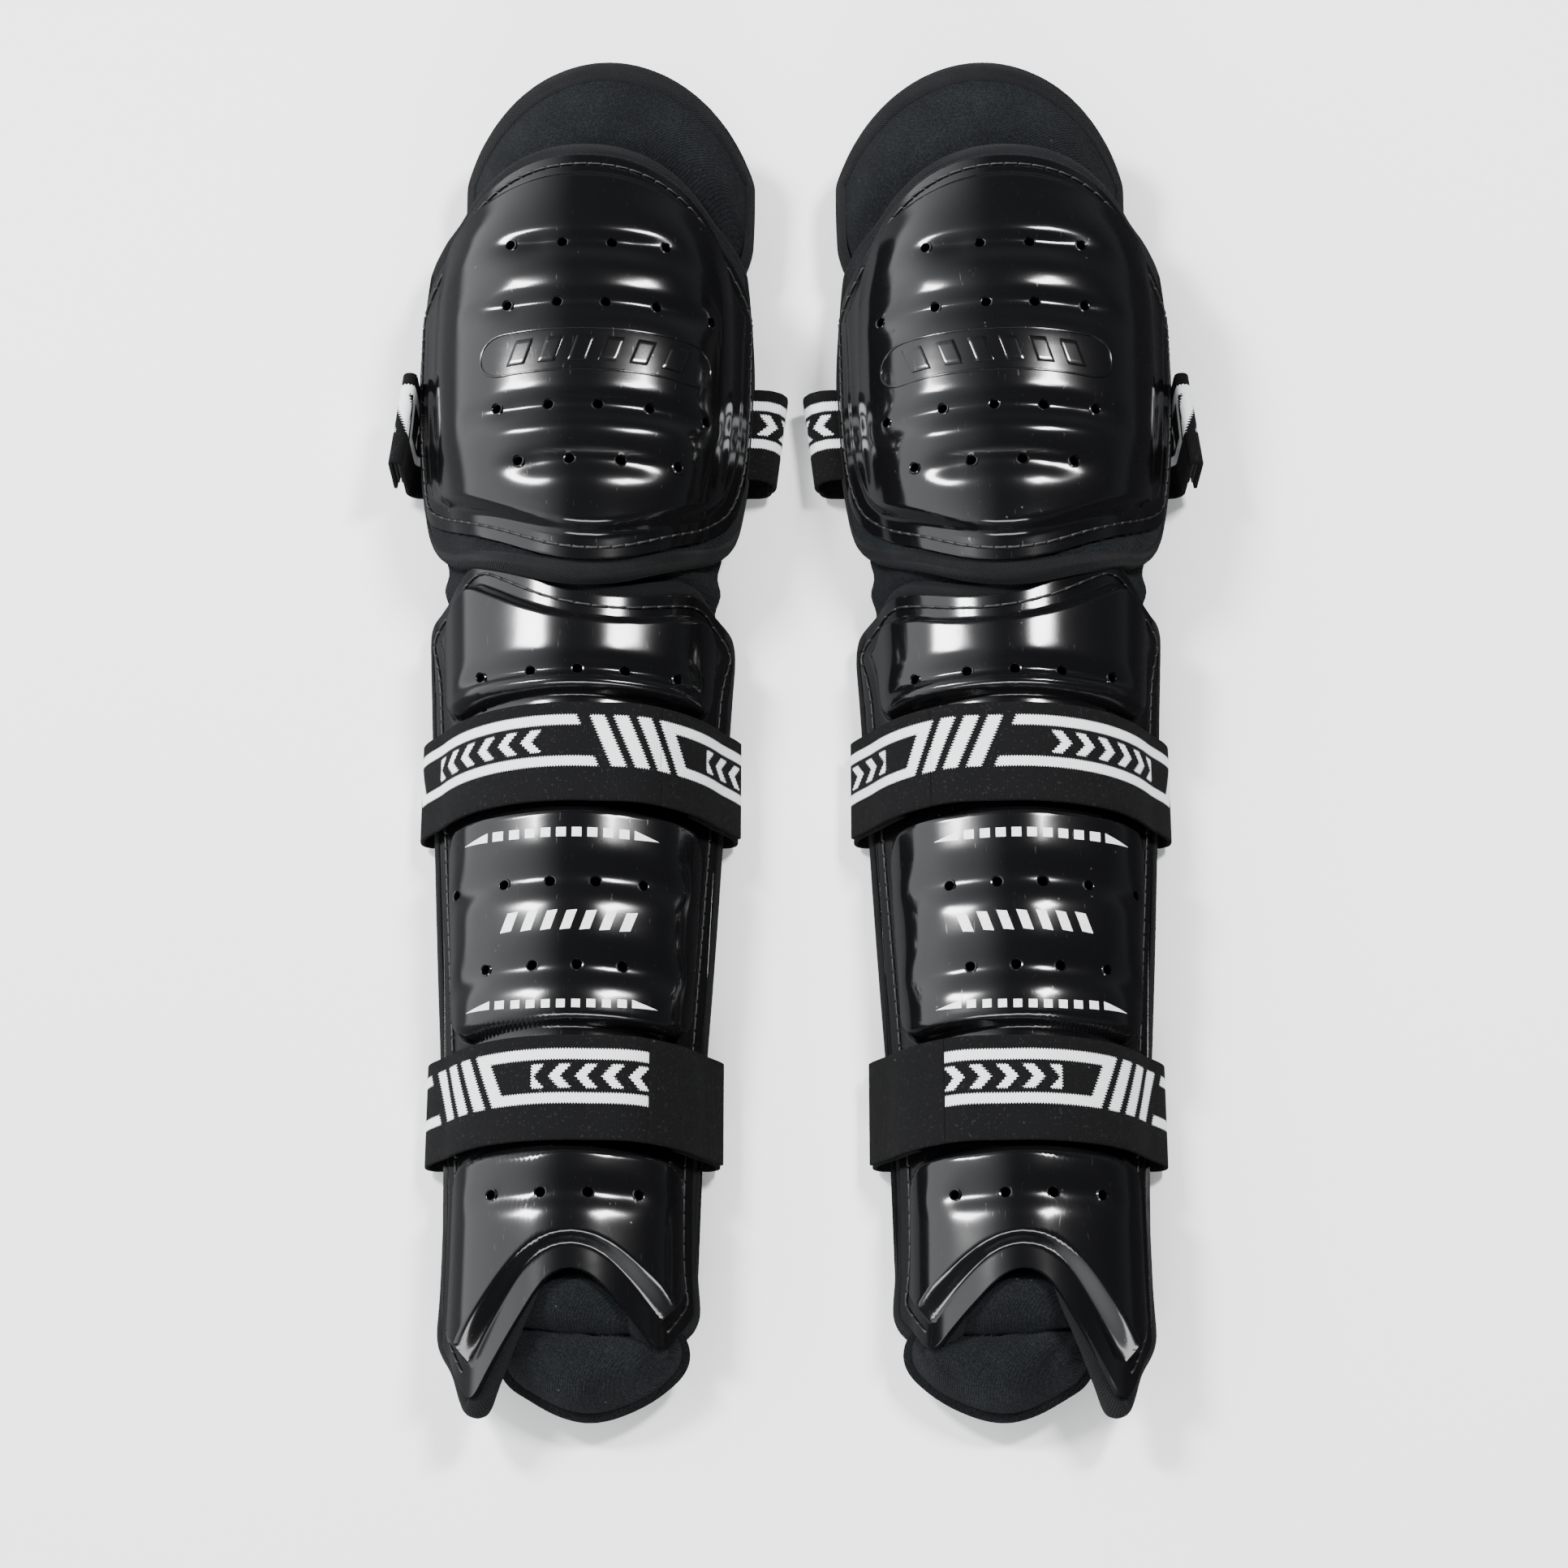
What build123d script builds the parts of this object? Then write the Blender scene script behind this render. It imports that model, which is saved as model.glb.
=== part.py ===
"""A mirrored pair of knee and shin guards: moulded shells sewn on padded liners, held by elastic straps.

Millimetres.  X runs across the pair, Y runs up the leg towards the thigh, Z points out of the front.
The pair lies on its back: the back runs of the straps rest on z = 0.  Each guard is made about its own
centre line (x = 0, inner side +x) and then placed; the right guard is the mirror image of the left one.
"""
import math
import os

from build123d import *

# ---- placing the pair -------------------------------------------------------------------------------
GUARD_SPACING = 162.0          # between the two centre lines
LENGTH_SHIFT = -15.0           # brings the middle of the pair's length to the origin

# ---- layers, measured outwards from the outer face of the liner --------------------------------------
FABRIC = 1.0                   # cover and lining cloth
FOAM = 7.0                     # liner foam
LINER = FOAM + 2 * FABRIC      # whole liner
SHELL = 2.6                    # moulded shell wall
RAISE = 8.5                    # outer face of the raised panels
PANEL_WALL = 4.1               # wall of a raised panel at its ribs
GROOVE_DEPTH = 2.0             # depth of the valleys between ribs
THREAD = 0.8                   # sewing thread thickness
BINDING = 2.5                  # how far the edge tape stands out past the liner
BINDING_PROUD = 0.6            # how far it stands over an open face
KNEE_REACH = 5.0               # how far the knee liner stands out past its shell
SHIN_REACH = 3.0               # the same for the shin liner
ARCH_REACH = -3.0              # the shin liner stays behind the shell's lip at the instep arch

# ---- elastic straps ----------------------------------------------------------------------------------
STRAP_WIDTH = 38.0
STRAP = 2.0                    # webbing thickness
PILE = 0.7                     # loop patch and hook patch thickness
GAP = 0.3                      # clearance between pieces that move or are only wrapped
STRAP_CORNER = 4.0             # bend at the bottom corners of a loop

# ---- edges -------------------------------------------------------------------------------------------
REST = STRAP + GAP + 0.4       # lowest point of the liner edges, above the strap lying on the table
FLANGE_LOW = 14.0              # lower edge of the shells at the sides
PANEL_LOW = 24.0               # lower edge of the raised panels at the sides
FLANGE = 8.5                   # sewing flange around the raised panels
SEAM_INSET = 4.2               # sewing line from the shell edge
VENT = 3.9                     # vent hole diameter
TALL = 140.0
WIDE = 90.0

# ---- leg channels: height of the axis, then (y, radius) of the liner's outer face ------------------------
SHIN = (0.0, [(112, 56.0), (70, 55.0), (20, 52.5), (-60, 48.5), (-110, 45.8), (-160, 43.5), (-205, 44.0), (-256, 45.5)])
KNEE = (8.0, [(48, 49.0), (85, 57.5), (110, 62.0), (135, 64.0), (160, 64.0), (190, 61.5), (220, 57.0), (250, 50.0)])
THIGH = (-10.0, [(186, 57.0), (240, 60.0), (292, 60.5)])
THIGH_SHIFT = 4.0              # the thigh flap sits a little to the inner side
THIGH_LOW = 8.0                # lower edge of its sides
THIGH_GAP = 3.0                # between the edge tapes of the knee pad and the thigh flap

# ---- rows of vent holes: (y, centre x, pitch, count) ----------------------------------------------------
KNEE_VENTS = [(188.5, 2.3, 16.6, 4), (163.0, 9.0, 16.2, 5), (121.5, 7.0, 16.3, 5), (100.5, 6.2, 16.5, 4)]
SHIN_VENTS = [(24.5, 1.0, 15.6, 5), (-56.0, -6.5, 14.6, 5), (-86.5, -4.5, 14.2, 4), (-168.5, 0.0, 14.4, 4)]
KNEE_GROOVES = [(188.5, 50.0), (163.0, 60.0), (121.5, 62.0), (100.5, 50.0)]   # (y, length)
SHIN_GROOVES = [(24.5, 76.0), (-56.0, 76.0), (-86.5, 76.0), (-168.5, 66.0)]
GROOVE_WIDTH = 10.0

# ---- strap channels on the shin shell and what lies between them -------------------------------------------
UPPER_STRAP_Y = -7.0
LOWER_STRAP_Y = -131.0
KNEE_STRAP_Y = 137.0
CHANNEL = STRAP_WIDTH + 5.0

# ---- knee emblem panel: a plain frame with slanted bars ------------------------------------------------------
EMBLEM_Y = 142.0
EMBLEM_LENGTH = 78.0
EMBLEM_HEIGHT = 15.0
EMBLEM_RELIEF = 0.7


def radius_at(channel, y):
    """Radius of the liner's outer face at a place along the leg."""
    ordered = sorted(channel[1])
    for low, high in zip(ordered, ordered[1:]):
        if low[0] <= y <= high[0]:
            return low[1] + (y - low[0]) / (high[0] - low[0]) * (high[1] - low[1])
    raise ValueError("outside the channel")


def turned(points, channel, shift):
    """Turns a half section about the channel's own axis."""
    return Pos(shift, 0, channel[0]) * revolve(make_face(Polyline(*points, close=True)), axis=Axis.Y)


def tube(channel, grow, shift=0.0):
    """Solid filling the channel, larger than the liner's outer face by grow."""
    stations = channel[1]
    outer = [(radius + grow, y) for y, radius in stations]
    return turned([(0, stations[0][0]), *outer, (0, stations[-1][0])], channel, shift)


def layer(channel, inner, outer, shift=0.0):
    """Hollow solid between two distances from the liner's outer face."""
    stations = channel[1]
    outside = [(radius + outer, y) for y, radius in stations]
    inside = [(radius + inner, y) for y, radius in reversed(stations)]
    return turned([*outside, *inside], channel, shift)


def column(outline, inset, low):
    """Everything inside a plan outline, drawn in by inset, above a height that rises by the same inset."""
    drawn = outline if inset == 0 else offset(outline, amount=-inset)
    return Pos(0, 0, low + inset) * extrude(drawn, amount=TALL)


def slab(y_low, y_high, z_low=-5.0):
    """Everything between two places along the leg, above a height."""
    size = (2 * WIDE, y_high - y_low, TALL - z_low)
    return Pos(0, (y_low + y_high) / 2, (TALL + z_low) / 2) * Box(*size)


def outline_of(points, rounding):
    """Plan outline with its corners rounded, one radius per point (0 leaves it sharp)."""
    face = make_face(Polyline(*points, close=True))
    for point, radius in zip(points, rounding):
        if radius:
            corner = face.vertices().sort_by_distance(Vector(*point, 0))[0]
            face = fillet(corner, radius)
    return face


# ---- plan outlines ------------------------------------------------------------------------------------------
def knee_outline(grow=0.0, tip=59.0):
    """Round top, straight sides and a chin that comes to a blunt point just inside the centre."""
    low_outer = (-58, 104 - grow / 4)
    low_inner = (54, 92 - grow / 4)
    edge = Polyline((-62 - grow, 178), (-WIDE, 140), (-WIDE, 134), low_outer, (4, tip), low_inner,
                    (WIDE, 126), (WIDE, 140), (62 + grow, 178))
    top = ThreePointArc((62 + grow, 178), (0, 231 + grow), (-62 - grow, 178))
    face = make_face([*edge.edges(), top])
    for point, radius in ((low_outer, 10), ((4, tip), 11), (low_inner, 12)):
        corner = face.vertices().sort_by_distance(Vector(*point, 0))[0]
        face = fillet(corner, radius)
    return face


def shin_outline(grow=0.0, arch=0.0):
    """Peaked top with a shallow notch below the chin of the knee shell, arched bottom with two wings."""
    points = [
        (-WIDE, 28), (-54, 57), (-37, 74 + grow), (4, 50 + grow), (46, 63 + grow), (55, 55), (WIDE, 26),
        (WIDE, -196), (47 + grow, -206), (36, -220 - grow), (7, -190 - arch), (-7, -190 - arch),
        (-35, -238 - grow), (-50 - grow, -214), (-WIDE, -200),
    ]
    rounding = [0, 14, 9, 16, 10, 8, 0, 0, 10, 4.5, 12, 12, 4.5, 14, 0]
    return outline_of(points, rounding)


def thigh_outline(grow=0.0):
    """Round flap that follows the knee pad's top edge with a gap at its lower side."""
    left, right, top = THIGH_SHIFT - 62 - grow, THIGH_SHIFT + 62 + grow, 280 + grow
    flap = make_face([
        Line((left, 196), (left, 232)),
        ThreePointArc((left, 232), (THIGH_SHIFT, top), (right, 232)),
        Line((right, 232), (right, 196)),
        Line((right, 196), (left, 196)),
    ])
    return flap - knee_outline(KNEE_REACH + 2 * BINDING + THIGH_GAP - grow)


def thigh_strip():
    """Cloth hinge from under the knee lining to the edge tape of the thigh flap."""
    under = -LINER - 2 * FABRIC
    strip = layer(KNEE, under - FABRIC, under) & slab(228, 246)
    strip = strip & extrude(Pos(0, 236) * Rectangle(68, 30), amount=TALL)
    return strip - (tube(THIGH, 5, THIGH_SHIFT) & column(thigh_outline(BINDING), 0, -5))


def instep_outline(grow=0.0):
    """Tongue under the arch, wider below the wings and leaning to the inner side."""
    points = [
        (-6 - grow / 2, -194 + grow), (6 + grow / 2, -194 + grow), (21 + grow, -215), (37 + grow, -231),
        (36 + grow, -240 - grow), (24, -250 - grow), (-8, -250 - grow), (-20 - grow, -240), (-19 - grow / 2, -222),
    ]
    return outline_of(points, [3, 3, 6, 5, 8, 12, 12, 10, 6])


# ---- building blocks ------------------------------------------------------------------------------------------
def liner_layers(channel, outline, low, shift=0.0):
    """Cover cloth, foam and lining cloth of one padded panel, face to face."""
    area = column(outline, 0, low)
    cover = layer(channel, -FABRIC, 0, shift) & area
    foam = layer(channel, FABRIC - LINER, -FABRIC, shift) & area
    lining = layer(channel, -LINER, FABRIC - LINER, shift) & area
    return cover, foam, lining


def edge_tape(channel, outline, wider, low, front=0.0, shift=0.0):
    """Binding around the edge of a padded panel; front is how far it stands over the outer face."""
    ring = column(wider, 0, low - BINDING) - column(outline, 0, low)
    return layer(channel, -LINER - BINDING_PROUD, front, shift) & ring


def seam_thread(channel, outline, low):
    """Sewing line that runs round the flange of a shell."""
    ring = column(outline, SEAM_INSET, low) - column(outline, SEAM_INSET + 1.1, low)
    return layer(channel, SHELL, SHELL + THREAD) & ring


def vent_holes(channel, rows):
    """Straight holes square to the shell, in rows."""
    holes = []
    for y, middle, pitch, count in rows:
        radius = radius_at(channel, y)
        for place in range(count):
            x = middle + (place - (count - 1) / 2) * pitch
            rise = math.sqrt(radius ** 2 - x ** 2)
            out = Plane(origin=(x, y, channel[0] + rise), z_dir=(x, 0, rise))
            holes.append(out * Cylinder(VENT / 2, 30))
    return holes


def valleys(channel, grooves, middle=0.0):
    """Rounded valleys pressed into the raised panels."""
    pressed = layer(channel, RAISE - GROOVE_DEPTH, RAISE + 4)
    cuts = []
    for y, length in grooves:
        slot = Pos(middle, y) * SlotOverall(length, GROOVE_WIDTH)
        cuts.append(pressed & extrude(slot, amount=TALL))
    return cuts


def raised_panel(channel, outline, y_low, y_high):
    """Outer block and inner hollow of one raised panel between two places along the leg."""
    block = tube(channel, RAISE) & column(outline, FLANGE, PANEL_LOW - FLANGE) & slab(y_low, y_high)
    inset = FLANGE + SHELL
    hollow = tube(channel, RAISE - PANEL_WALL) & column(outline, inset, PANEL_LOW - FLANGE)
    hollow = hollow & slab(y_low + SHELL, y_high - SHELL)
    return block, hollow


# ---- shells -------------------------------------------------------------------------------------------------------
def knee_shell():
    outline = knee_outline()
    flange = layer(KNEE, 0, SHELL) & column(outline, 0, FLANGE_LOW)
    block, hollow = raised_panel(KNEE, outline, 60, 235)
    shell = flange + (block - tube(KNEE, 0)) - hollow
    for cut in valleys(KNEE, KNEE_GROOVES, 4.0):
        shell = shell - cut
    for hole in vent_holes(KNEE, KNEE_VENTS):
        shell = shell - hole
    relief = layer(KNEE, RAISE - 0.2, RAISE + EMBLEM_RELIEF)
    rim = 1.5
    frame = RectangleRounded(EMBLEM_LENGTH, EMBLEM_HEIGHT, 6)
    frame = frame - RectangleRounded(EMBLEM_LENGTH - 2 * rim, EMBLEM_HEIGHT - 2 * rim, 6 - rim)
    bars = [Pos(x, 0) * Rot(0, 0, -20) * Rectangle(5, 8) for x in range(-24, 25, 12)]
    for mark in [frame, *bars]:
        shell = shell + (relief & extrude(Pos(4, EMBLEM_Y) * mark, amount=TALL))
    return shell


def shin_shell():
    outline = shin_outline()
    shell = layer(SHIN, 0, SHELL) & column(outline, 0, FLANGE_LOW)
    body = tube(SHIN, 0)
    half = CHANNEL / 2
    panels = [
        (UPPER_STRAP_Y + half, 90),
        (LOWER_STRAP_Y + half, UPPER_STRAP_Y - half),
        (-238, LOWER_STRAP_Y - half),
    ]
    for y_low, y_high in panels:
        block, hollow = raised_panel(SHIN, outline, y_low, y_high)
        shell = shell + (block - body) - hollow
    for cut in valleys(SHIN, SHIN_GROOVES):
        shell = shell - cut
    for hole in vent_holes(SHIN, SHIN_VENTS):
        shell = shell - hole
    return shell


# ---- straps ---------------------------------------------------------------------------------------------------------
STRAP_BASE = SHELL + THREAD + GAP   # inner face of a calf strap over the shell and its sewing


def tray(reach, bottom, corner):
    """Area above a flat bottom with rounded corners, between two upright sides."""
    area = Pos(0, bottom + TALL / 2) * Rectangle(2 * reach, TALL)
    return fillet(area.vertices().sort_by(Axis.Y)[:2], corner)


def loop_area(radius, grow):
    """Area inside a strap loop: round over the shell, turned under the liner edges, flat on the table."""
    reach = radius + grow
    corner = STRAP_CORNER + grow - STRAP_BASE
    side = STRAP + STRAP_CORNER
    bottom = side - corner
    half = math.sqrt(reach ** 2 - side ** 2)
    flat = half - corner
    bend = corner * math.sqrt(0.5)
    return make_face([
        ThreePointArc((-half, side), (0, reach), (half, side)),
        ThreePointArc((half, side), (flat + bend, side - bend), (flat, bottom)),
        Line((flat, bottom), (-flat, bottom)),
        ThreePointArc((-flat, bottom), (-flat - bend, side - bend), (-half, side)),
    ])


def across(profile, y, width):
    """Stands a section up across the leg and gives it a width along the leg."""
    plane = Plane(origin=(0, y + width / 2, 0), x_dir=(1, 0, 0), z_dir=(0, -1, 0))
    return extrude(plane * profile, amount=width)


def wedge(start, end):
    """Part of a section between two angles from straight up, towards the inner side."""
    near, far = 15.0, 2 * WIDE
    corners = [(near, start), (far, start), (far, (start + end) / 2), (far, end), (near, end)]
    points = [(reach * math.sin(math.radians(turn)), reach * math.cos(math.radians(turn))) for reach, turn in corners]
    return make_face(Polyline(*points, close=True))


TAB_START = 34.0               # where the free end of a calf strap leaves the loop, degrees from the top
TAB_ROOT = 40.0
TAB_END = 78.0
TAB_INNER = STRAP_BASE + STRAP + 2 * PILE + GAP


def calf_strap(y):
    """Loop, loop patch, hook patch and free tab of one calf strap."""
    radius = radius_at(SHIN, y + STRAP_WIDTH / 2)

    def ring(inner, outer):
        return loop_area(radius, outer) - loop_area(radius, inner)

    band = ring(STRAP_BASE, STRAP_BASE + STRAP) - wedge(TAB_ROOT, TAB_ROOT + 4)
    pile = ring(STRAP_BASE + STRAP, STRAP_BASE + STRAP + PILE) & wedge(TAB_ROOT + 10, TAB_END)
    hooks = ring(TAB_INNER - PILE, TAB_INNER) & wedge(TAB_ROOT + 10, TAB_END)
    tab = ring(TAB_INNER, TAB_INNER + STRAP) & wedge(TAB_START, TAB_END + 2)
    root = ring(STRAP_BASE + STRAP + GAP, TAB_INNER) & wedge(TAB_START, TAB_ROOT)
    patch = STRAP_WIDTH - 3
    return {
        "band": across(band, y, STRAP_WIDTH),
        "pile": across(pile, y, patch),
        "hooks": across(hooks, y, patch),
        "tab": across(tab + root, y, STRAP_WIDTH),
    }


def knee_strap():
    """Band under the back of the knee, sewn below the shell on both sides, its free end folded back."""
    cover = radius_at(KNEE, KNEE_STRAP_Y + STRAP_WIDTH / 2)
    inside = cover + RAISE + GAP
    outside = inside + STRAP
    lip_top, fold_top = FLANGE_LOW - 1.5, 38.0
    patch_low, patch_top = 12.0, fold_top - 6

    def upright(near, thick, low, high):
        return Pos(-near - thick / 2, (low + high) / 2) * Rectangle(thick, high - low)

    band = tray(outside, 0, STRAP_CORNER + STRAP) - tray(inside, STRAP, STRAP_CORNER)
    band = band - Pos(WIDE / 2, lip_top + TALL) * Rectangle(WIDE, 2 * TALL)
    band = band - Pos(-WIDE / 2, fold_top + TALL) * Rectangle(WIDE, 2 * TALL)
    lips = Pos(0, lip_top - STRAP / 2) * Rectangle(2 * inside + 1, STRAP)
    band = band + (lips - Pos(0, KNEE[0]) * Circle(cover))
    pile_at = outside
    hooks_at = pile_at + PILE + GAP
    tab_at = hooks_at + PILE
    tab = upright(tab_at, STRAP, patch_low - 2, fold_top + STRAP)
    fold = upright(outside + GAP, tab_at - outside - GAP, fold_top - 4, fold_top + STRAP)
    sections = {
        "band": (band, STRAP_WIDTH),
        "pile": (upright(pile_at, PILE, patch_low, patch_top), STRAP_WIDTH - 3),
        "hooks": (upright(hooks_at, PILE, patch_low, patch_top), STRAP_WIDTH - 3),
        "tab": (tab + fold, STRAP_WIDTH),
    }
    return {name: across(section, KNEE_STRAP_Y, width) for name, (section, width) in sections.items()}


# ---- instep pad -------------------------------------------------------------------------------------------------------
INSTEP_TOP = 40.0              # height of its upper face at the crease
INSTEP_SLOPE = 21.0            # degrees it falls towards the foot
INSTEP_THICK = 10.0


def instep_slice(outline, low, high):
    """Slice of the sloping tongue between two depths below its upper face."""
    length = 90.0
    slab_box = Pos(8, -length / 2, (low + high) / 2) * Box(120, length, high - low)
    placed = Pos(0, -190, INSTEP_TOP) * Rot(INSTEP_SLOPE, 0, 0) * slab_box
    return placed & column(outline, 0, -10)


def instep_parts():
    outline = instep_outline()
    wider = instep_outline(BINDING)
    cover = instep_slice(outline, -INSTEP_THICK, 0) - instep_slice(outline, FABRIC - INSTEP_THICK, -FABRIC)
    foam = instep_slice(outline, FABRIC - INSTEP_THICK, -FABRIC)
    tape = instep_slice(wider, -INSTEP_THICK + 1, -1) - column(outline, 0, -10)
    return {"instep_cover": cover, "instep_foam": foam, "instep_binding": tape}


# ---- one guard -----------------------------------------------------------------------------------------------------------
def guard_parts():
    """All pieces of the left guard about its own centre line."""
    parts = {}
    knee_liner = knee_outline(KNEE_REACH, 61.0)
    knee_cover, knee_foam, knee_lining = liner_layers(KNEE, knee_liner, REST + BINDING)
    parts["knee_shell"] = knee_shell()
    parts["knee_cover"] = knee_cover
    parts["knee_foam"] = knee_foam
    parts["knee_lining"] = knee_lining
    parts["knee_binding"] = edge_tape(KNEE, knee_liner, knee_outline(KNEE_REACH + BINDING, 61.0 - BINDING), REST + BINDING)
    parts["knee_seam"] = seam_thread(KNEE, knee_outline(), FLANGE_LOW)

    shin_liner = shin_outline(SHIN_REACH, ARCH_REACH)
    shin_cover, shin_foam, shin_lining = liner_layers(SHIN, shin_liner, REST + BINDING)
    parts["shin_shell"] = shin_shell()
    parts["shin_cover"] = shin_cover
    parts["shin_foam"] = shin_foam
    parts["shin_lining"] = shin_lining
    parts["shin_binding"] = edge_tape(SHIN, shin_liner, shin_outline(SHIN_REACH + BINDING, ARCH_REACH + BINDING), REST + BINDING)
    parts["shin_seam"] = seam_thread(SHIN, shin_outline(), FLANGE_LOW)
    behind = -LINER - BINDING_PROUD
    parts["knee_gusset"] = layer(SHIN, behind - FABRIC, behind) & slab(44, 104, 18)

    thigh = thigh_outline()
    cover, foam, lining = liner_layers(THIGH, thigh, THIGH_LOW + BINDING, THIGH_SHIFT)
    parts["thigh_cover"] = cover + lining + thigh_strip()
    parts["thigh_foam"] = foam
    tape = edge_tape(THIGH, thigh, thigh_outline(BINDING), THIGH_LOW + BINDING, BINDING_PROUD, THIGH_SHIFT)
    parts["thigh_binding"] = tape

    parts.update(instep_parts())

    upper = calf_strap(UPPER_STRAP_Y)
    lower = calf_strap(LOWER_STRAP_Y)
    knee = knee_strap()
    parts["calf_strap_upper"] = upper["band"]
    parts["calf_strap_lower"] = lower["band"]
    parts["calf_loop_patches"] = Compound(children=[upper["pile"], lower["pile"]])
    parts["calf_tab_upper"] = upper["tab"]
    parts["calf_hooks_upper"] = upper["hooks"]
    parts["calf_tab_lower"] = lower["tab"]
    parts["calf_hooks_lower"] = lower["hooks"]
    parts["knee_strap"] = knee["band"]
    parts["knee_loop_patch"] = knee["pile"]
    parts["knee_tab"] = knee["tab"]
    parts["knee_hooks"] = knee["hooks"]
    return parts


def main():
    os.makedirs("parts", exist_ok=True)
    for name, shape in guard_parts().items():
        left = Pos(-GUARD_SPACING / 2, LENGTH_SHIFT, 0) * shape
        right = mirror(left, Plane.YZ)
        export_step(left, f"parts/left_{name}.step")
        export_step(right, f"parts/right_{name}.step")
        print(name, "solids", len(left.solids()), "volume", round(left.volume))


main()
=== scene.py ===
"""Detailed visual model of a mirrored pair of knee and shin guards.

Laid out as an add-on: property groups hold the sizes and colours a user would change, one operator makes
each piece or group of like pieces, and a sidebar panel lists them.  Sizes inside the builders are in
millimetres about one guard's own centre line (outer side -x, inner side +x); place() turns them into
metres in the shared frame, mirrored for the right guard.
"""
import math
from collections import namedtuple

import bpy
import numpy as np
from bpy.props import FloatProperty, FloatVectorProperty, PointerProperty
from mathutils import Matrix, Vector


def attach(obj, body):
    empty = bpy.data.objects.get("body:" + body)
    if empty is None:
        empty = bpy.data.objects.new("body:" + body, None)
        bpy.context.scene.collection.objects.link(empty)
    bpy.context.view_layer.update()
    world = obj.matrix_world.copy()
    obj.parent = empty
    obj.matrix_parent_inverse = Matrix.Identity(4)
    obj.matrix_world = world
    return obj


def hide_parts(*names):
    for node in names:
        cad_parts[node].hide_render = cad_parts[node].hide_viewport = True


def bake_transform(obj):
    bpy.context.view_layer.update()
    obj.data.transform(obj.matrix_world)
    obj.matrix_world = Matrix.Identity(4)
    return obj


bl_info = {
    "name": "Knee and shin guards",
    "version": (1, 0, 0),
    "blender": (4, 5, 0),
    "location": "3D View > Sidebar > Guards",
    "description": "Builds a mirrored pair of moulded knee and shin guards on their packed frame",
    "category": "Add Mesh",
}

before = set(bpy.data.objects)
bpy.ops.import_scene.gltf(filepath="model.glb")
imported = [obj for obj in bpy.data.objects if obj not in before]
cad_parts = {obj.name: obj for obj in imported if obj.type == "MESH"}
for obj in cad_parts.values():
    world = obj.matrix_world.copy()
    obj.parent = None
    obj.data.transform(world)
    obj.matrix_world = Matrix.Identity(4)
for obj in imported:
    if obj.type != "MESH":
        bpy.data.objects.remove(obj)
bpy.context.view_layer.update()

SIDES = ("left", "right")
CENTRE = 81.0                  # each guard's centre line from the middle of the pair
LENGTH_SHIFT = -15.0           # brings the middle of the pair's length to the origin
FLANGE_RISE = 2.6              # outer face of the sewing flange over the liner
WALL = 2.3                     # thickness of the moulded shells

# A channel is the round that parts lie on: its axis height, places along the leg and the radii there, the radius
# that distances round it are measured at, the flare of its side edges, and its axis's shift from the centre line.
Channel = namedtuple("Channel", "axis places radii nominal brim shift")
SHIN = Channel(1.0, (-256, -205, -160, -110, -60, 20, 70, 112), (43.0, 41.5, 41.2, 43.3, 45.8, 49.5, 52.0, 53.0),
               46.5, 4.0, 0.0)
KNEE = Channel(15.0, (48, 85, 110, 135, 160, 190, 220, 250), (43.5, 50.0, 54.2, 56.4, 57.2, 56.2, 53.0, 47.0),
               57.0, 5.0, 0.0)
THIGH = Channel(-6.0, (186, 240, 292), (60.5, 63.5, 64.0), 60.0, 0.0, 8.0)
GUSSET = SHIN._replace(nominal=55.0)

CALF_STRAPS = {"upper": -7.0, "lower": -131.0}      # centre lines of the straps along the leg

# rows of vent holes: place along the leg, middle of the row, pitch, count
KNEE_VENTS = [(188.5, 2.3, 16.6, 4), (163.0, 9.0, 16.2, 5), (121.5, 7.0, 16.3, 5), (100.5, 6.2, 16.5, 4)]
SHIN_VENTS = [(24.5, 1.0, 15.6, 5), (-56.0, -6.5, 14.6, 5), (-86.5, -4.5, 14.2, 4), (-168.5, 0.0, 14.4, 4)]


def smooth(low, high, value):
    part = np.clip((value - low) / (high - low), 0.0, 1.0)
    return part * part * (3.0 - 2.0 * part)


def radius(channel, y):
    """Radius of the liner's outer face, eased between its stations."""
    y = np.asarray(y, float)
    return sum(np.interp(y + step, channel.places, channel.radii) for step in (-10, -5, 0, 5, 10)) / 5.0


def flare(channel, turn):
    """Sideways flare of a channel's edges."""
    return channel.brim * np.sign(turn) * smooth(1.12, 1.46, np.abs(turn))


def around(channel, across, y, offset):
    """Points on a channel: across is the distance round it at its nominal radius, from its top."""
    turn = np.asarray(across, float) / channel.nominal
    reach = radius(channel, y) + offset
    sideways = channel.shift + flare(channel, turn) + reach * np.sin(turn)
    return np.stack([sideways, np.asarray(y, float) + 0 * turn, channel.axis + reach * np.cos(turn)], -1)


def unrolled(channel, points, rise=FLANGE_RISE):
    """Plan points as distance round the channel and place along it."""
    flat = []
    for x, y in points:
        part = (x - channel.shift) / (float(radius(channel, y)) + rise)
        flat.append((channel.nominal * math.asin(max(-0.999, min(0.999, part))), y))
    return flat


def rounded(points, radii, steps=7):
    """Closed outline with its corners eased by short curves."""
    result = []
    count = len(points)
    for i, (x, y) in enumerate(points):
        corner, before, after = Vector((x, y)), Vector(points[i - 1]), Vector(points[(i + 1) % count])
        reach = radii[i]
        if reach <= 0:
            result.append((x, y))
            continue
        start = corner + (before - corner).normalized() * min(reach, (before - corner).length * 0.49)
        end = corner + (after - corner).normalized() * min(reach, (after - corner).length * 0.49)
        for step in range(steps + 1):
            t = step / steps
            point = start * (1 - t) ** 2 + corner * 2 * t * (1 - t) + end * t ** 2
            result.append((point.x, point.y))
    return result


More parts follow.
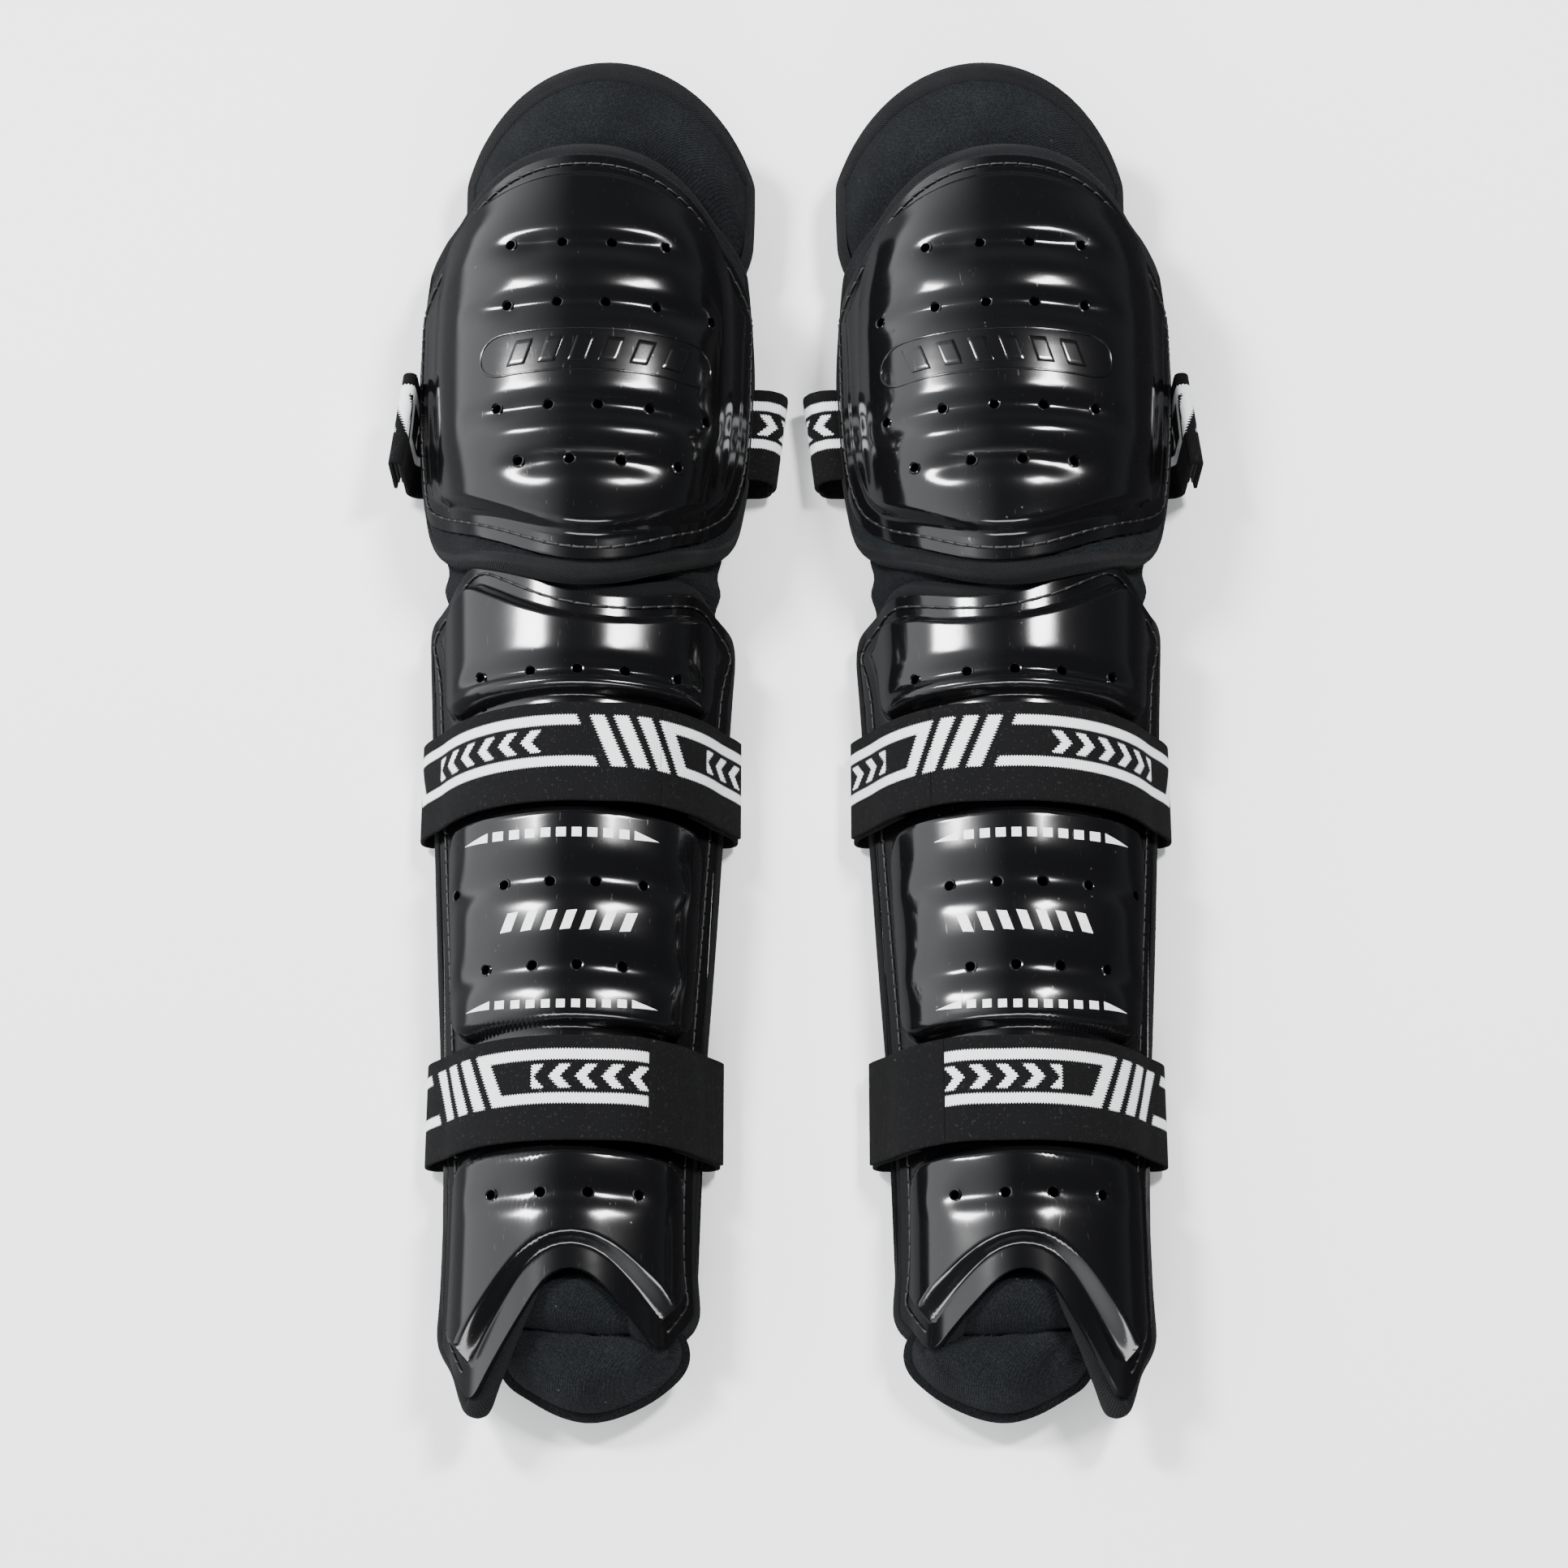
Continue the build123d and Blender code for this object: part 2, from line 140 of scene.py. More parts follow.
def edge_distance(across, y, outline):
    """Distance from each point to a closed outline."""
    flat = np.stack([np.ravel(across), np.ravel(y)], -1)
    best = np.full(len(flat), 1e9)
    ring = np.array(outline, float)
    for start, end in zip(ring, np.roll(ring, -1, axis=0)):
        run = end - start
        length = float(run @ run)
        if length < 1e-9:
            continue
        t = np.clip(((flat - start) @ run) / length, 0, 1)
        gap = flat - (start + t[:, None] * run)
        best = np.minimum(best, np.hypot(gap[:, 0], gap[:, 1]))
    return best.reshape(np.shape(across))


def column_limits(columns, outline):
    """Lowest and highest place of the outline at each column."""
    ring = np.array(outline, float)
    after = np.roll(ring, -1, axis=0)
    low, high = np.full(len(columns), 1e9), np.full(len(columns), -1e9)
    for (x0, y0), (x1, y1) in zip(ring, after):
        left, right = min(x0, x1), max(x0, x1)
        inside = (columns >= left - 1e-9) & (columns <= right + 1e-9)
        if right - left < 1e-6:
            low[inside] = np.minimum(low[inside], min(y0, y1))
            high[inside] = np.maximum(high[inside], max(y0, y1))
            continue
        y = y0 + (columns - x0) / (x1 - x0) * (y1 - y0)
        low[inside] = np.minimum(low[inside], y[inside])
        high[inside] = np.maximum(high[inside], y[inside])
    return low, high


def grown(outline, amount):
    """Outline moved outwards (inwards when negative) along its own normals."""
    ring = np.array(outline, float)
    before, after = np.roll(ring, 1, axis=0), np.roll(ring, -1, axis=0)
    run = after - before
    run /= np.maximum(np.hypot(run[:, 0], run[:, 1]), 1e-9)[:, None]
    normal = np.stack([run[:, 1], -run[:, 0]], -1)
    area = np.sum(ring[:, 0] * after[:, 1] - after[:, 0] * ring[:, 1])
    return [tuple(p) for p in ring + normal * amount * (1 if area > 0 else -1)]


# ---- objects ----
def clear_selection():
    if bpy.context.mode != "OBJECT":
        bpy.ops.object.mode_set(mode="OBJECT")
    bpy.ops.object.select_all(action="DESELECT")


def make_active(piece):
    clear_selection()
    piece.select_set(True)
    bpy.context.view_layer.objects.active = piece


def place(points):
    """Millimetres about the left guard's centre line to metres in the shared frame."""
    points = np.array(points, float).reshape(-1, 3)
    return (points + (-CENTRE, LENGTH_SHIFT, 0.0)) / 1000.0


def lay_map(mesh, uv):
    """Gives a mesh its map, in decimetres so that it stays near the unit square."""
    layer = mesh.uv_layers.active or mesh.uv_layers.new(name="UVMap")
    index = np.empty(len(mesh.loops), int)
    mesh.loops.foreach_get("vertex_index", index)
    layer.data.foreach_set("uv", (np.asarray(uv, float).reshape(-1, 2) / 100.0)[index].ravel())


def grid_piece(name, points, uv=None):
    """A primitive grid whose rows and columns are laid on the given points."""
    rows, columns = points.shape[:2]
    clear_selection()
    bpy.ops.mesh.primitive_grid_add(x_subdivisions=columns - 1, y_subdivisions=rows - 1, size=0.1)
    piece = bpy.context.active_object
    piece.name = name
    piece.data.name = name
    piece.data.vertices.foreach_set("co", place(points).ravel())
    if uv is not None:
        lay_map(piece.data, uv)
    piece.data.update()
    return piece


def face_outward(piece, middle):
    """Turns a sheet's faces away from a point inside the guard."""
    mesh = piece.data
    total = sum((poly.center - Vector(middle)).dot(poly.normal) for poly in mesh.polygons)
    if total < 0:
        mesh.flip_normals()


def even_normals(piece, merge=0.0):
    """Turns a closed mesh's faces outwards, after merging points nearer than merge metres."""
    make_active(piece)
    bpy.ops.object.mode_set(mode="EDIT")
    bpy.ops.mesh.select_all(action="SELECT")
    if merge:
        bpy.ops.mesh.remove_doubles(threshold=merge)
    bpy.ops.mesh.normals_make_consistent(inside=False)
    bpy.ops.object.mode_set(mode="OBJECT")


def apply_modifiers(piece):
    make_active(piece)
    for modifier in list(piece.modifiers):
        bpy.ops.object.modifier_apply(modifier=modifier.name)


def add_bevel(piece, width, segments=2, angle=50):
    """Bevel of the edges sharper than an angle in degrees; the width is in millimetres."""
    bevel = piece.modifiers.new("edge", "BEVEL")
    bevel.width = width / 1000.0
    bevel.segments = segments
    bevel.limit_method = "ANGLE"
    bevel.angle_limit = math.radians(angle)


def solid(piece, thickness, bevel=0.0, segments=2, offset=-1.0):
    """Wall behind a sheet, with its rim eased."""
    wall = piece.modifiers.new("wall", "SOLIDIFY")
    wall.thickness = thickness / 1000.0
    wall.offset = offset
    wall.use_even_offset = False
    if bevel:
        add_bevel(piece, bevel, segments)
    apply_modifiers(piece)


def shade(piece, angle=40):
    make_active(piece)
    bpy.ops.object.shade_smooth_by_angle(angle=math.radians(angle))


def mirrored(piece, name):
    """The right guard's copy of a left piece, with its own mesh."""
    copy = piece.copy()
    copy.data = piece.data.copy()
    copy.name = name
    copy.data.name = name
    bpy.context.scene.collection.objects.link(copy)
    coords = np.empty(len(copy.data.vertices) * 3)
    copy.data.vertices.foreach_get("co", coords)
    coords[0::3] *= -1
    copy.data.vertices.foreach_set("co", coords)
    copy.data.flip_normals()
    copy.data.update()
    return copy


def both_sides(piece, body, nodes, finish):
    """Finishes a left piece, copies it for the right guard and tells the frame about both."""
    piece.data.materials.clear()
    piece.data.materials.append(finished(finish))
    pair = [piece, mirrored(piece, "right_" + piece.name[len("left_"):])]
    for side, each in zip(SIDES, pair):
        if body:
            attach(each, f"{side}_{body}")
        if nodes:
            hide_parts(*[f"{side}_{node}" for node in nodes])
    return pair


def joined(name, pieces):
    """One object from several."""
    clear_selection()
    for piece in pieces:
        piece.select_set(True)
    bpy.context.view_layer.objects.active = pieces[0]
    bpy.ops.object.join()
    pieces[0].name = name
    pieces[0].data.name = name
    return pieces[0]


def mesh_piece(name, vertices, faces, uvs=None):
    mesh = bpy.data.meshes.new(name)
    mesh.from_pydata([tuple(v) for v in vertices], [], faces)
    if uvs is not None:
        lay_map(mesh, uvs)
    mesh.update()
    piece = bpy.data.objects.new(name, mesh)
    bpy.context.scene.collection.objects.link(piece)
    return piece


# ---- outlines ----
SHIN_LINER_LOW = [(43.5, -208), (37, -224), (0, -178), (-35, -244), (-43.5, -216)]
KNEE_LINER_LOW = [(55, 84), (5, 56.5), (-57, 82)]     # the liner's ears stand out beside the chin of the shell


def knee_outline(grow=0.0, tip=59.0, side=84.0, low_points=None):
    """Unrolled edge of the knee shell: round top, straight sides, blunt chin."""
    reach = 60.6 + grow * 0.9
    arch = []
    for x in np.linspace(-reach * 0.985, reach * 0.985, 25):
        arch.append((x, 168.0 + (63.2 + grow) * (1 - abs(x / reach) ** 2.5) ** 0.4))
    top = unrolled(KNEE, arch)
    low = unrolled(KNEE, low_points or [(51, 87 - grow / 3), (4, tip), (-54, 95 - grow / 3)])
    points = [(-side, 163), *top, (side, 163), (side, 112), *low, (-side, 118)]
    radii = [10] + [0] * len(top) + [10, 18, 24, 30, 24, 18]
    return rounded(points, radii)


def shin_outline(grow=0.0, side=61.5, low_points=None):
    """Unrolled edge of the shin shell: peaked top with a shallow notch, arched bottom with two wings."""
    top = unrolled(SHIN, [(-54.5, 56), (-37, 75 + grow), (4, 50 + grow), (46, 64 + grow), (55, 50)])
    low = low_points or [(43, -204), (34, -222), (0, -187), (-32, -240), (-43, -214)]
    low = unrolled(SHIN, low)
    points = [(-side - 3, 38), *top, (side + 3, 34), (side - 3, -150), (side - 3, -190), *low, (-side + 3, -198),
              (-side + 3, -150)]
    radii = [8, 12, 9, 22, 10, 12, 10, 20, 10, 8, 7, 20, 7, 8, 10, 20]
    return rounded(points, radii)


def spread(low, high, count, ends=0.35):
    """Columns that crowd a little towards both ends."""
    even = np.linspace(0, 1, count)
    eased = even - ends * np.sin(2 * np.pi * even) / (2 * np.pi)
    return low + (high - low) * eased


def shell_points(channel, outline, offset, columns, rows):
    """Grid of points on a channel that fills an unrolled outline."""
    ring = np.array(outline)
    across = spread(ring[:, 0].min() + 1e-4, ring[:, 0].max() - 1e-4, columns)
    low, high = column_limits(across, outline)
    y = low[None, :] + spread(0, 1, rows, 0.25)[:, None] * (high - low)[None, :]
    across = np.broadcast_to(across[None, :], y.shape)
    return around(channel, across, y, offset(across, y)), across, y


def valley(local, above, below):
    """Dip that is steep on its upper side and easy on its lower side."""
    width = np.where(local > 0, above, below)
    return np.exp(-(local / width) ** 2)


def faded(away, length, ease):
    """1 over a length and easing to 0 at both ends."""
    return 1 - smooth(length / 2 - ease, length / 2 + ease * 0.4, np.abs(away))


def knee_rise(across, y, outline):
    """Outer face of the knee shell over the liner."""
    gap = edge_distance(across, y, outline)
    lift = smooth(8.0, 13.0, gap)
    crown = smooth(12, 34, gap) * 1.6
    turn = np.abs(across) / KNEE.nominal
    side = 1 - 0.70 * smooth(0.85, 1.36, turn)
    boxy = 2.6 * np.exp(-((turn - 0.66) / 0.30) ** 2) * (1 - smooth(196, 222, y)) * smooth(72, 96, y)
    ribs = np.zeros_like(gap)
    for place_y, length, middle in ((188.5, 62, 2), (163.0, 84, 6), (121.5, 84, 5), (100.5, 66, 4)):
        local = y - place_y + 0.0007 * (across - middle) ** 2
        ribs = ribs - 2.6 * valley(local, 3.4, 6.6) * faded(across - middle, length, 17.0)
    ridges = 0.9 * valley(y - 175.0, 6.0, 6.0) * faded(across - 4, 78, 16.0)
    ridges = ridges + 1.1 * valley(y - 111.5, 5.0, 5.0) * faded(across - 4, 78, 16.0)
    return FLANGE_RISE + (5.2 + crown + boxy) * lift * side + (ribs + ridges) * smooth(13, 20, gap)


# pressed ribs of the shin shell: place along the leg, length, middle, width above and below, depth
SHIN_RIBS = ((24.5, 80, 2, 4.0, 5.0, 2.6), (-54.5, 84, -2, 6.4, 6.4, 2.5), (-87.0, 84, -2, 6.4, 6.4, 2.5),
             (-168.5, 66, 0, 5.0, 5.0, 1.5))


def shin_rise(across, y, outline):
    """Outer face of the shin shell over the liner: three raised panels with two strap channels."""
    gap = edge_distance(across, y, outline)
    for middle in CALF_STRAPS.values():
        away = np.abs(y - middle + 0.0011 * across ** 2 - 1.2) - 20.6 + 8.0
        corner = np.hypot(np.clip(14 - (gap - 8), 0, 14), np.clip(14 - (away - 8), 0, 14))
        blended = np.where((gap < 22) & (away < 22), 8 + 14 - corner, np.minimum(gap, away))
        gap = np.minimum(np.minimum(gap, np.maximum(away, 0)), np.maximum(blended, 0))
    lift = smooth(8.0, 12.5, gap)
    turn = np.abs(across) / SHIN.nominal
    side = 1 - 0.70 * smooth(0.85, 1.32, turn)
    boxy = 2.4 * np.exp(-((turn - 0.72) / 0.26) ** 2)
    ribs = np.zeros_like(gap)
    for place_y, length, middle, above, below, deep in SHIN_RIBS:
        local = y - place_y + 0.0006 * (across - middle) ** 2
        ribs = ribs - deep * valley(local, above, below) * faded(across - middle, length, 12.0)
    return FLANGE_RISE + (5.4 + boxy) * lift * side + ribs * smooth(12, 18, gap)


# ---- shader helpers ----
class Wiring:
    """Adds and links shader nodes with few words."""

    def __init__(self, tree):
        self.tree = tree
        self.count = 0

    def node(self, kind, **settings):
        made = self.tree.nodes.new(kind)
        made.location = (220 * (self.count // 6), -180 * (self.count % 6))
        self.count += 1
        for name, value in settings.items():
            setattr(made, name, value)
        return made

    def put(self, value, socket):
        if isinstance(value, bpy.types.NodeSocket):
            self.tree.links.new(value, socket)
        else:
            socket.default_value = value

    def math(self, operation, *values):
        made = self.node("ShaderNodeMath", operation=operation)
        for value, socket in zip(values, made.inputs):
            self.put(value, socket)
        return made.outputs[0]

    def mix(self, factor, first, second):
        made = self.node("ShaderNodeMix", data_type="RGBA")
        self.put(factor, made.inputs["Factor"])
        self.put(first, made.inputs["A"])
        self.put(second, made.inputs["B"])
        return made.outputs["Result"]

    def times(self, *values):
        return self.math("MULTIPLY", *values)

    def plus(self, *values):
        return self.math("ADD", *values)

    def minus(self, *values):
        return self.math("SUBTRACT", *values)

    def saw(self, value, pitch):
        """Even zigzag between 0 and 0.5 with a pitch."""
        turns = self.math("DIVIDE", value, pitch)
        return self.math("ABSOLUTE", self.minus(self.math("FRACT", turns), 0.5))

    def map_millimetres(self, socket):
        """Both parts of a piece's own map in millimetres."""
        parts = self.node("ShaderNodeSeparateXYZ")
        self.put(socket, parts.inputs[0])
        return [self.times(parts.outputs[axis], 100.0) for axis in "XY"]

    def noise(self, vector, scale, detail=2.0, roughness=0.5):
        made = self.node("ShaderNodeTexNoise")
        self.tree.links.new(vector, made.inputs["Vector"])
        made.inputs["Scale"].default_value = scale
        made.inputs["Detail"].default_value = detail
        made.inputs["Roughness"].default_value = roughness
        return made.outputs["Fac"]

    def step(self, value, low, high):
        made = self.node("ShaderNodeMapRange", interpolation_type="SMOOTHSTEP")
        self.put(value, made.inputs["Value"])
        made.inputs["From Min"].default_value = low
        made.inputs["From Max"].default_value = high
        return made.outputs["Result"]

    def bump(self, height, distance, strength=1.0, normal=None):
        made = self.node("ShaderNodeBump")
        made.inputs["Distance"].default_value = distance
        made.inputs["Strength"].default_value = strength
        self.put(height, made.inputs["Height"])
        if normal is not None:
            self.tree.links.new(normal, made.inputs["Normal"])
        return made.outputs["Normal"]

    def group(self, tree, **inputs):
        made = self.node("ShaderNodeGroup")
        made.node_tree = tree
        for name, value in inputs.items():
            self.put(value, made.inputs[name.replace("_", " ")])
        return made.outputs


def new_group(name, inputs, outputs):
    tree = bpy.data.node_groups.new(name, "ShaderNodeTree")
    for label, kind, default in inputs:
        socket = tree.interface.new_socket(label, in_out="INPUT", socket_type=kind)
        if default is not None:
            socket.default_value = default
    for label, kind in outputs:
        tree.interface.new_socket(label, in_out="OUTPUT", socket_type=kind)
    wiring = Wiring(tree)
    start, end = wiring.node("NodeGroupInput"), wiring.node("NodeGroupOutput")
    return tree, wiring, start.outputs, end.inputs


def knit_group():
    """Fine knitted cloth: stitch columns and rows, fuzz and faint unevenness."""
    if "Knit" in bpy.data.node_groups:
        return bpy.data.node_groups["Knit"]
    tree, w, given, out = new_group(
        "Knit",
        [("Vector", "NodeSocketVector", None), ("Pitch", "NodeSocketFloat", 900.0), ("Fuzz", "NodeSocketFloat", 0.5)],
        [("Shade", "NodeSocketFloat"), ("Height", "NodeSocketFloat")],
    )
    parts = w.node("ShaderNodeSeparateXYZ")
    tree.links.new(given["Vector"], parts.inputs[0])
    around_x = w.plus(parts.outputs["X"], w.times(parts.outputs["Z"], 0.8))
    column = w.math("SINE", w.times(around_x, given["Pitch"]))
    row = w.math("SINE", w.times(parts.outputs["Y"], given["Pitch"]))
    loops = w.times(column, row)
    fuzz = w.noise(given["Vector"], 1150.0, 3.0, 0.75)
    cloud = w.noise(given["Vector"], 45.0, 3.0, 0.55)
    height = w.plus(w.times(loops, 0.25), w.times(fuzz, given["Fuzz"]))
    # painted sheen: the fuzz and the raised loops are painted lighter; the cloud noise is uneven tone
    painted_sheen_and_tone = w.plus(w.times(fuzz, 0.75), w.times(cloud, 0.25))
    painted_sheen_and_tone = w.plus(painted_sheen_and_tone, w.times(loops, 0.06))
    w.put(painted_sheen_and_tone, out["Shade"])
    w.put(height, out["Height"])
    return tree


def dust_group():
    """Pale specks of lint and dust."""
    if "Lint" in bpy.data.node_groups:
        return bpy.data.node_groups["Lint"]
    tree, w, given, out = new_group(
        "Lint", [("Vector", "NodeSocketVector", None), ("Amount", "NodeSocketFloat", 0.5)],
        [("Mask", "NodeSocketFloat")]
    )
    cells = w.node("ShaderNodeTexVoronoi", feature="F1")
    cells.inputs["Scale"].default_value = 190.0
    tree.links.new(given["Vector"], cells.inputs["Vector"])
    speck = w.minus(1.0, w.step(cells.outputs["Distance"], 0.03, 0.11))
    keep = w.step(w.noise(given["Vector"], 70.0, 2.0), 0.56, 0.68)
    mask = w.times(w.times(speck, keep), given["Amount"])
    w.put(mask, out["Mask"])
    return tree


def new_material(name):
    material = bpy.data.materials.new(name)
    material.use_nodes = True
    material.node_tree.nodes.clear()
    w = Wiring(material.node_tree)
    end = w.node("ShaderNodeOutputMaterial")
    shader = w.node("ShaderNodeBsdfPrincipled")
    material.node_tree.links.new(shader.outputs[0], end.inputs[0])
    where = w.node("ShaderNodeTexCoord")
    return material, w, shader.inputs, where.outputs


def shell_material(name):
    """High gloss moulded plastic with a little waviness, fine scuffs and lint."""
    material, w, shader, where = new_material(name)
    place_in = where["Object"]
    lint = w.group(dust_group(), Vector=place_in, Amount=0.35)["Mask"]
    scuff_map = w.node("ShaderNodeMapping")
    scuff_map.inputs["Scale"].default_value = (1.0, 0.12, 1.0)
    scuff_map.inputs["Rotation"].default_value = (0.0, 0.0, 0.6)
    w.put(place_in, scuff_map.inputs["Vector"])
    scuff = w.step(w.noise(scuff_map.outputs[0], 900.0, 2.0, 0.6), 0.66, 0.74)
    haze = w.noise(place_in, 28.0, 4.0, 0.6)
    color = w.mix(lint, (*looks().shell_color, 1.0), (0.10, 0.10, 0.10, 1.0))
    w.put(color, shader["Base Color"])
    rough = w.plus(w.times(haze, 0.10), looks().shell_roughness)
    rough = w.plus(rough, w.times(scuff, 0.14))
    rough = w.plus(rough, w.times(lint, 0.6))
    w.put(rough, shader["Roughness"])
    shader["IOR"].default_value = 1.42
    shader["Coat Weight"].default_value = 0.15
    shader["Coat Roughness"].default_value = 0.07
    normal = w.bump(w.noise(place_in, 42.0, 2.0), 0.0003, 0.35)
    normal = w.bump(lint, 0.0001, 0.4, normal)
    w.put(normal, shader["Normal"])
    return material


def cloth_material(name, color, sheen=0.02, fuzz=0.5, pitch=5200.0, depth=0.0008, lint=0.35):
    """Knitted liner cloth."""
    material, w, shader, where = new_material(name)
    place_in = where["Object"]
    knit = w.group(knit_group(), Vector=place_in, Pitch=pitch, Fuzz=fuzz)
    specks = w.group(dust_group(), Vector=place_in, Amount=lint)["Mask"]
    dark = tuple(c * 0.35 for c in color)
    bright = tuple(min(1.0, c * 3.6) for c in color)
    # painted sheen: lighter colour on the knit's fuzz and raised loops, darker between them
    base = w.mix(w.step(knit["Shade"], 0.35, 0.80), (*dark, 1.0), (*bright, 1.0))
    w.put(w.mix(specks, base, (0.12, 0.125, 0.13, 1.0)), shader["Base Color"])
    shader["Roughness"].default_value = 0.95
    shader["Specular IOR Level"].default_value = 0.12
    shader["Sheen Weight"].default_value = sheen
    shader["Sheen Roughness"].default_value = 0.55
    shader["Sheen Tint"].default_value = (0.85, 0.88, 0.92, 1.0)
    creases = w.bump(w.noise(place_in, 24.0, 3.0, 0.5), 0.0016, 0.35)
    w.put(w.bump(knit["Height"], depth, 0.8, creases), shader["Normal"])
    return material


def tape_material(name):
    """Herringbone edge tape: u runs along the tape and v across it."""
    material, w, shader, where = new_material(name)
    color = looks().tape_color
    u, v = w.map_millimetres(where["UV"])
    zig = w.saw(v, 5.0)
    ridge = w.math("FRACT", w.plus(w.math("DIVIDE", u, 1.15), w.times(zig, 5.0)))
    ridge = w.times(w.math("ABSOLUTE", w.minus(ridge, 0.5)), 2.0)
    fuzz = w.noise(where["Object"], 1500.0, 3.0, 0.7)
    cloud = w.noise(where["Object"], 60.0, 2.0)
    # painted light and shade: the twill ridges and fuzz are painted lighter, the grooves darker; the cloud noise is
    # uneven tone
    mask = w.plus(w.times(ridge, 0.5), w.times(fuzz, 0.55))
    mask = w.plus(mask, w.times(w.minus(cloud, 0.5), 0.5))
    base = w.mix(w.step(mask, 0.25, 0.95), (*[c * 0.5 for c in color], 1.0), (*[c * 1.8 for c in color], 1.0))
    w.put(base, shader["Base Color"])
    shader["Roughness"].default_value = 0.9
    shader["Specular IOR Level"].default_value = 0.15
    shader["Sheen Weight"].default_value = 0.02
    shader["Sheen Roughness"].default_value = 0.5
    w.put(w.bump(w.plus(ridge, w.times(fuzz, 0.5)), 0.00035, 0.9), shader["Normal"])
    return material


REPEAT = 118.0                 # length of the woven pattern along a strap


def jacquard_group():
    """White stripes, slanted bars and small chevrons woven into a black elastic; inputs in millimetres."""
    if "Jacquard" in bpy.data.node_groups:
        return bpy.data.node_groups["Jacquard"]
    tree, w, given, out = new_group(
        "Jacquard", [("Along", "NodeSocketFloat", 0.0), ("Across", "NodeSocketFloat", 0.0)],
        [("White", "NodeSocketFloat")]
    )
    u, v = given["Along"], given["Across"]
    tooth = w.saw(u, 1.0)
    nib = w.saw(v, 1.05)
    v_edge = w.plus(v, w.times(w.minus(tooth, 0.25), 1.3))
    lean = w.plus(u, w.times(w.minus(v, 15.0), 0.42))
    lean = w.plus(lean, w.times(w.minus(nib, 0.25), 2.4))
    along = w.math("FLOORED_MODULO", lean, REPEAT)

    def between(value, low, high):
        return w.times(w.math("GREATER_THAN", value, low), w.math("LESS_THAN", value, high))

    stripes = w.math("MAXIMUM", between(v_edge, 5.2, 9.0), between(v_edge, 21.2, 24.9))
    stripes = w.times(stripes, between(along, 36.0, REPEAT))
    bars = w.math("LESS_THAN", w.math("FRACT", w.math("DIVIDE", along, 8.6)), 0.6)
    bars = w.times(bars, w.times(between(along, 0.0, 33.2), between(v_edge, 5.2, 24.9)))
    fold = w.times(w.math("ABSOLUTE", w.minus(v_edge, 15.1)), 0.9)
    straight = w.math("FLOORED_MODULO", w.plus(u, w.times(w.minus(nib, 0.25), 1.8)), REPEAT)
    chevron = w.math("LESS_THAN", w.math("FRACT", w.math("DIVIDE", w.plus(straight, fold), 9.4)), 0.42)
    chevron = w.times(chevron, w.times(between(straight, 52.0, 104.0), between(v_edge, 10.8, 19.4)))
    w.put(w.math("MAXIMUM", w.math("MAXIMUM", stripes, bars), chevron), out["White"])
    return tree


def elastic_material(name, printed):
    """Ribbed black elastic webbing with the woven white pattern."""
    material, w, shader, where = new_material(name)
    u, v = w.map_millimetres(where["UV"])
    rib = w.saw(u, 0.62)
    shift = w.times(w.math("FLOOR", w.math("DIVIDE", u, 0.62)), 0.5)
    pick = w.math("ABSOLUTE", w.minus(w.math("FRACT", w.plus(w.math("DIVIDE", v, 0.95), shift)), 0.5))
    weave = w.times(w.minus(1.0, rib), w.minus(1.0, pick))
    fuzz = w.noise(where["Object"], 2200.0, 2.0, 0.7)
    fleck = w.step(w.noise(where["Object"], 900.0, 1.0), 0.62, 0.72)
    lint = w.group(dust_group(), Vector=where["Object"], Amount=0.4)["Mask"]
    dark = looks().elastic_color
    # painted shade: the weave's raised threads are painted lighter and its grooves darker; the flecks are real specks
    painted_weave_shade_and_flecks = w.plus(w.times(weave, 0.7), w.times(fleck, 0.6))
    black = w.mix(w.step(painted_weave_shade_and_flecks, 0.2, 1.2), (*[c * 0.5 for c in dark], 1.0), (*[c * 5.0 for c in dark], 1.0))
    black = w.mix(lint, black, (0.14, 0.14, 0.15, 1.0))
    height = w.plus(weave, w.times(fuzz, 0.25))
    if printed:
        white_mask = w.group(jacquard_group(), Along=u, Across=v)["White"]
        # painted shade: the white threads are painted grey in the weave's grooves
        white = w.mix(w.step(weave, 0.2, 0.9), (0.58, 0.59, 0.62, 1.0), (*looks().white_color, 1.0))
        black = w.mix(white_mask, black, white)
        height = w.plus(height, w.times(white_mask, 0.5))
    w.put(black, shader["Base Color"])
    shader["Roughness"].default_value = 0.9
    shader["Specular IOR Level"].default_value = 0.12
    shader["Sheen Weight"].default_value = 0.014
    w.put(w.bump(height, 0.0003, 0.9), shader["Normal"])
    return material


def plain_material(name, color, roughness, noise_scale, depth, sheen=0.0):
    """Small trims: thread, hooks, loop pile and print."""
    material, w, shader, where = new_material(name)
    grain = w.noise(where["Object"], noise_scale, 2.0, 0.6)
    dark, bright = (*[c * 0.7 for c in color], 1.0), (*[min(1, c * 1.3) for c in color], 1.0)
    w.put(w.mix(grain, dark, bright), shader["Base Color"])
    w.put(w.plus(w.times(grain, 0.15), roughness), shader["Roughness"])
    if sheen:
        shader["Sheen Weight"].default_value = sheen
    w.put(w.bump(grain, depth, 0.8), shader["Normal"])
    return material


def floor_material(name):
    material, w, shader, where = new_material(name)
    grain = w.noise(where["Object"], 3.0, 2.0)
    w.put(w.mix(grain, (0.90, 0.90, 0.905, 1.0), (0.93, 0.93, 0.93, 1.0)), shader["Base Color"])
    shader["Roughness"].default_value = 0.75
    return material


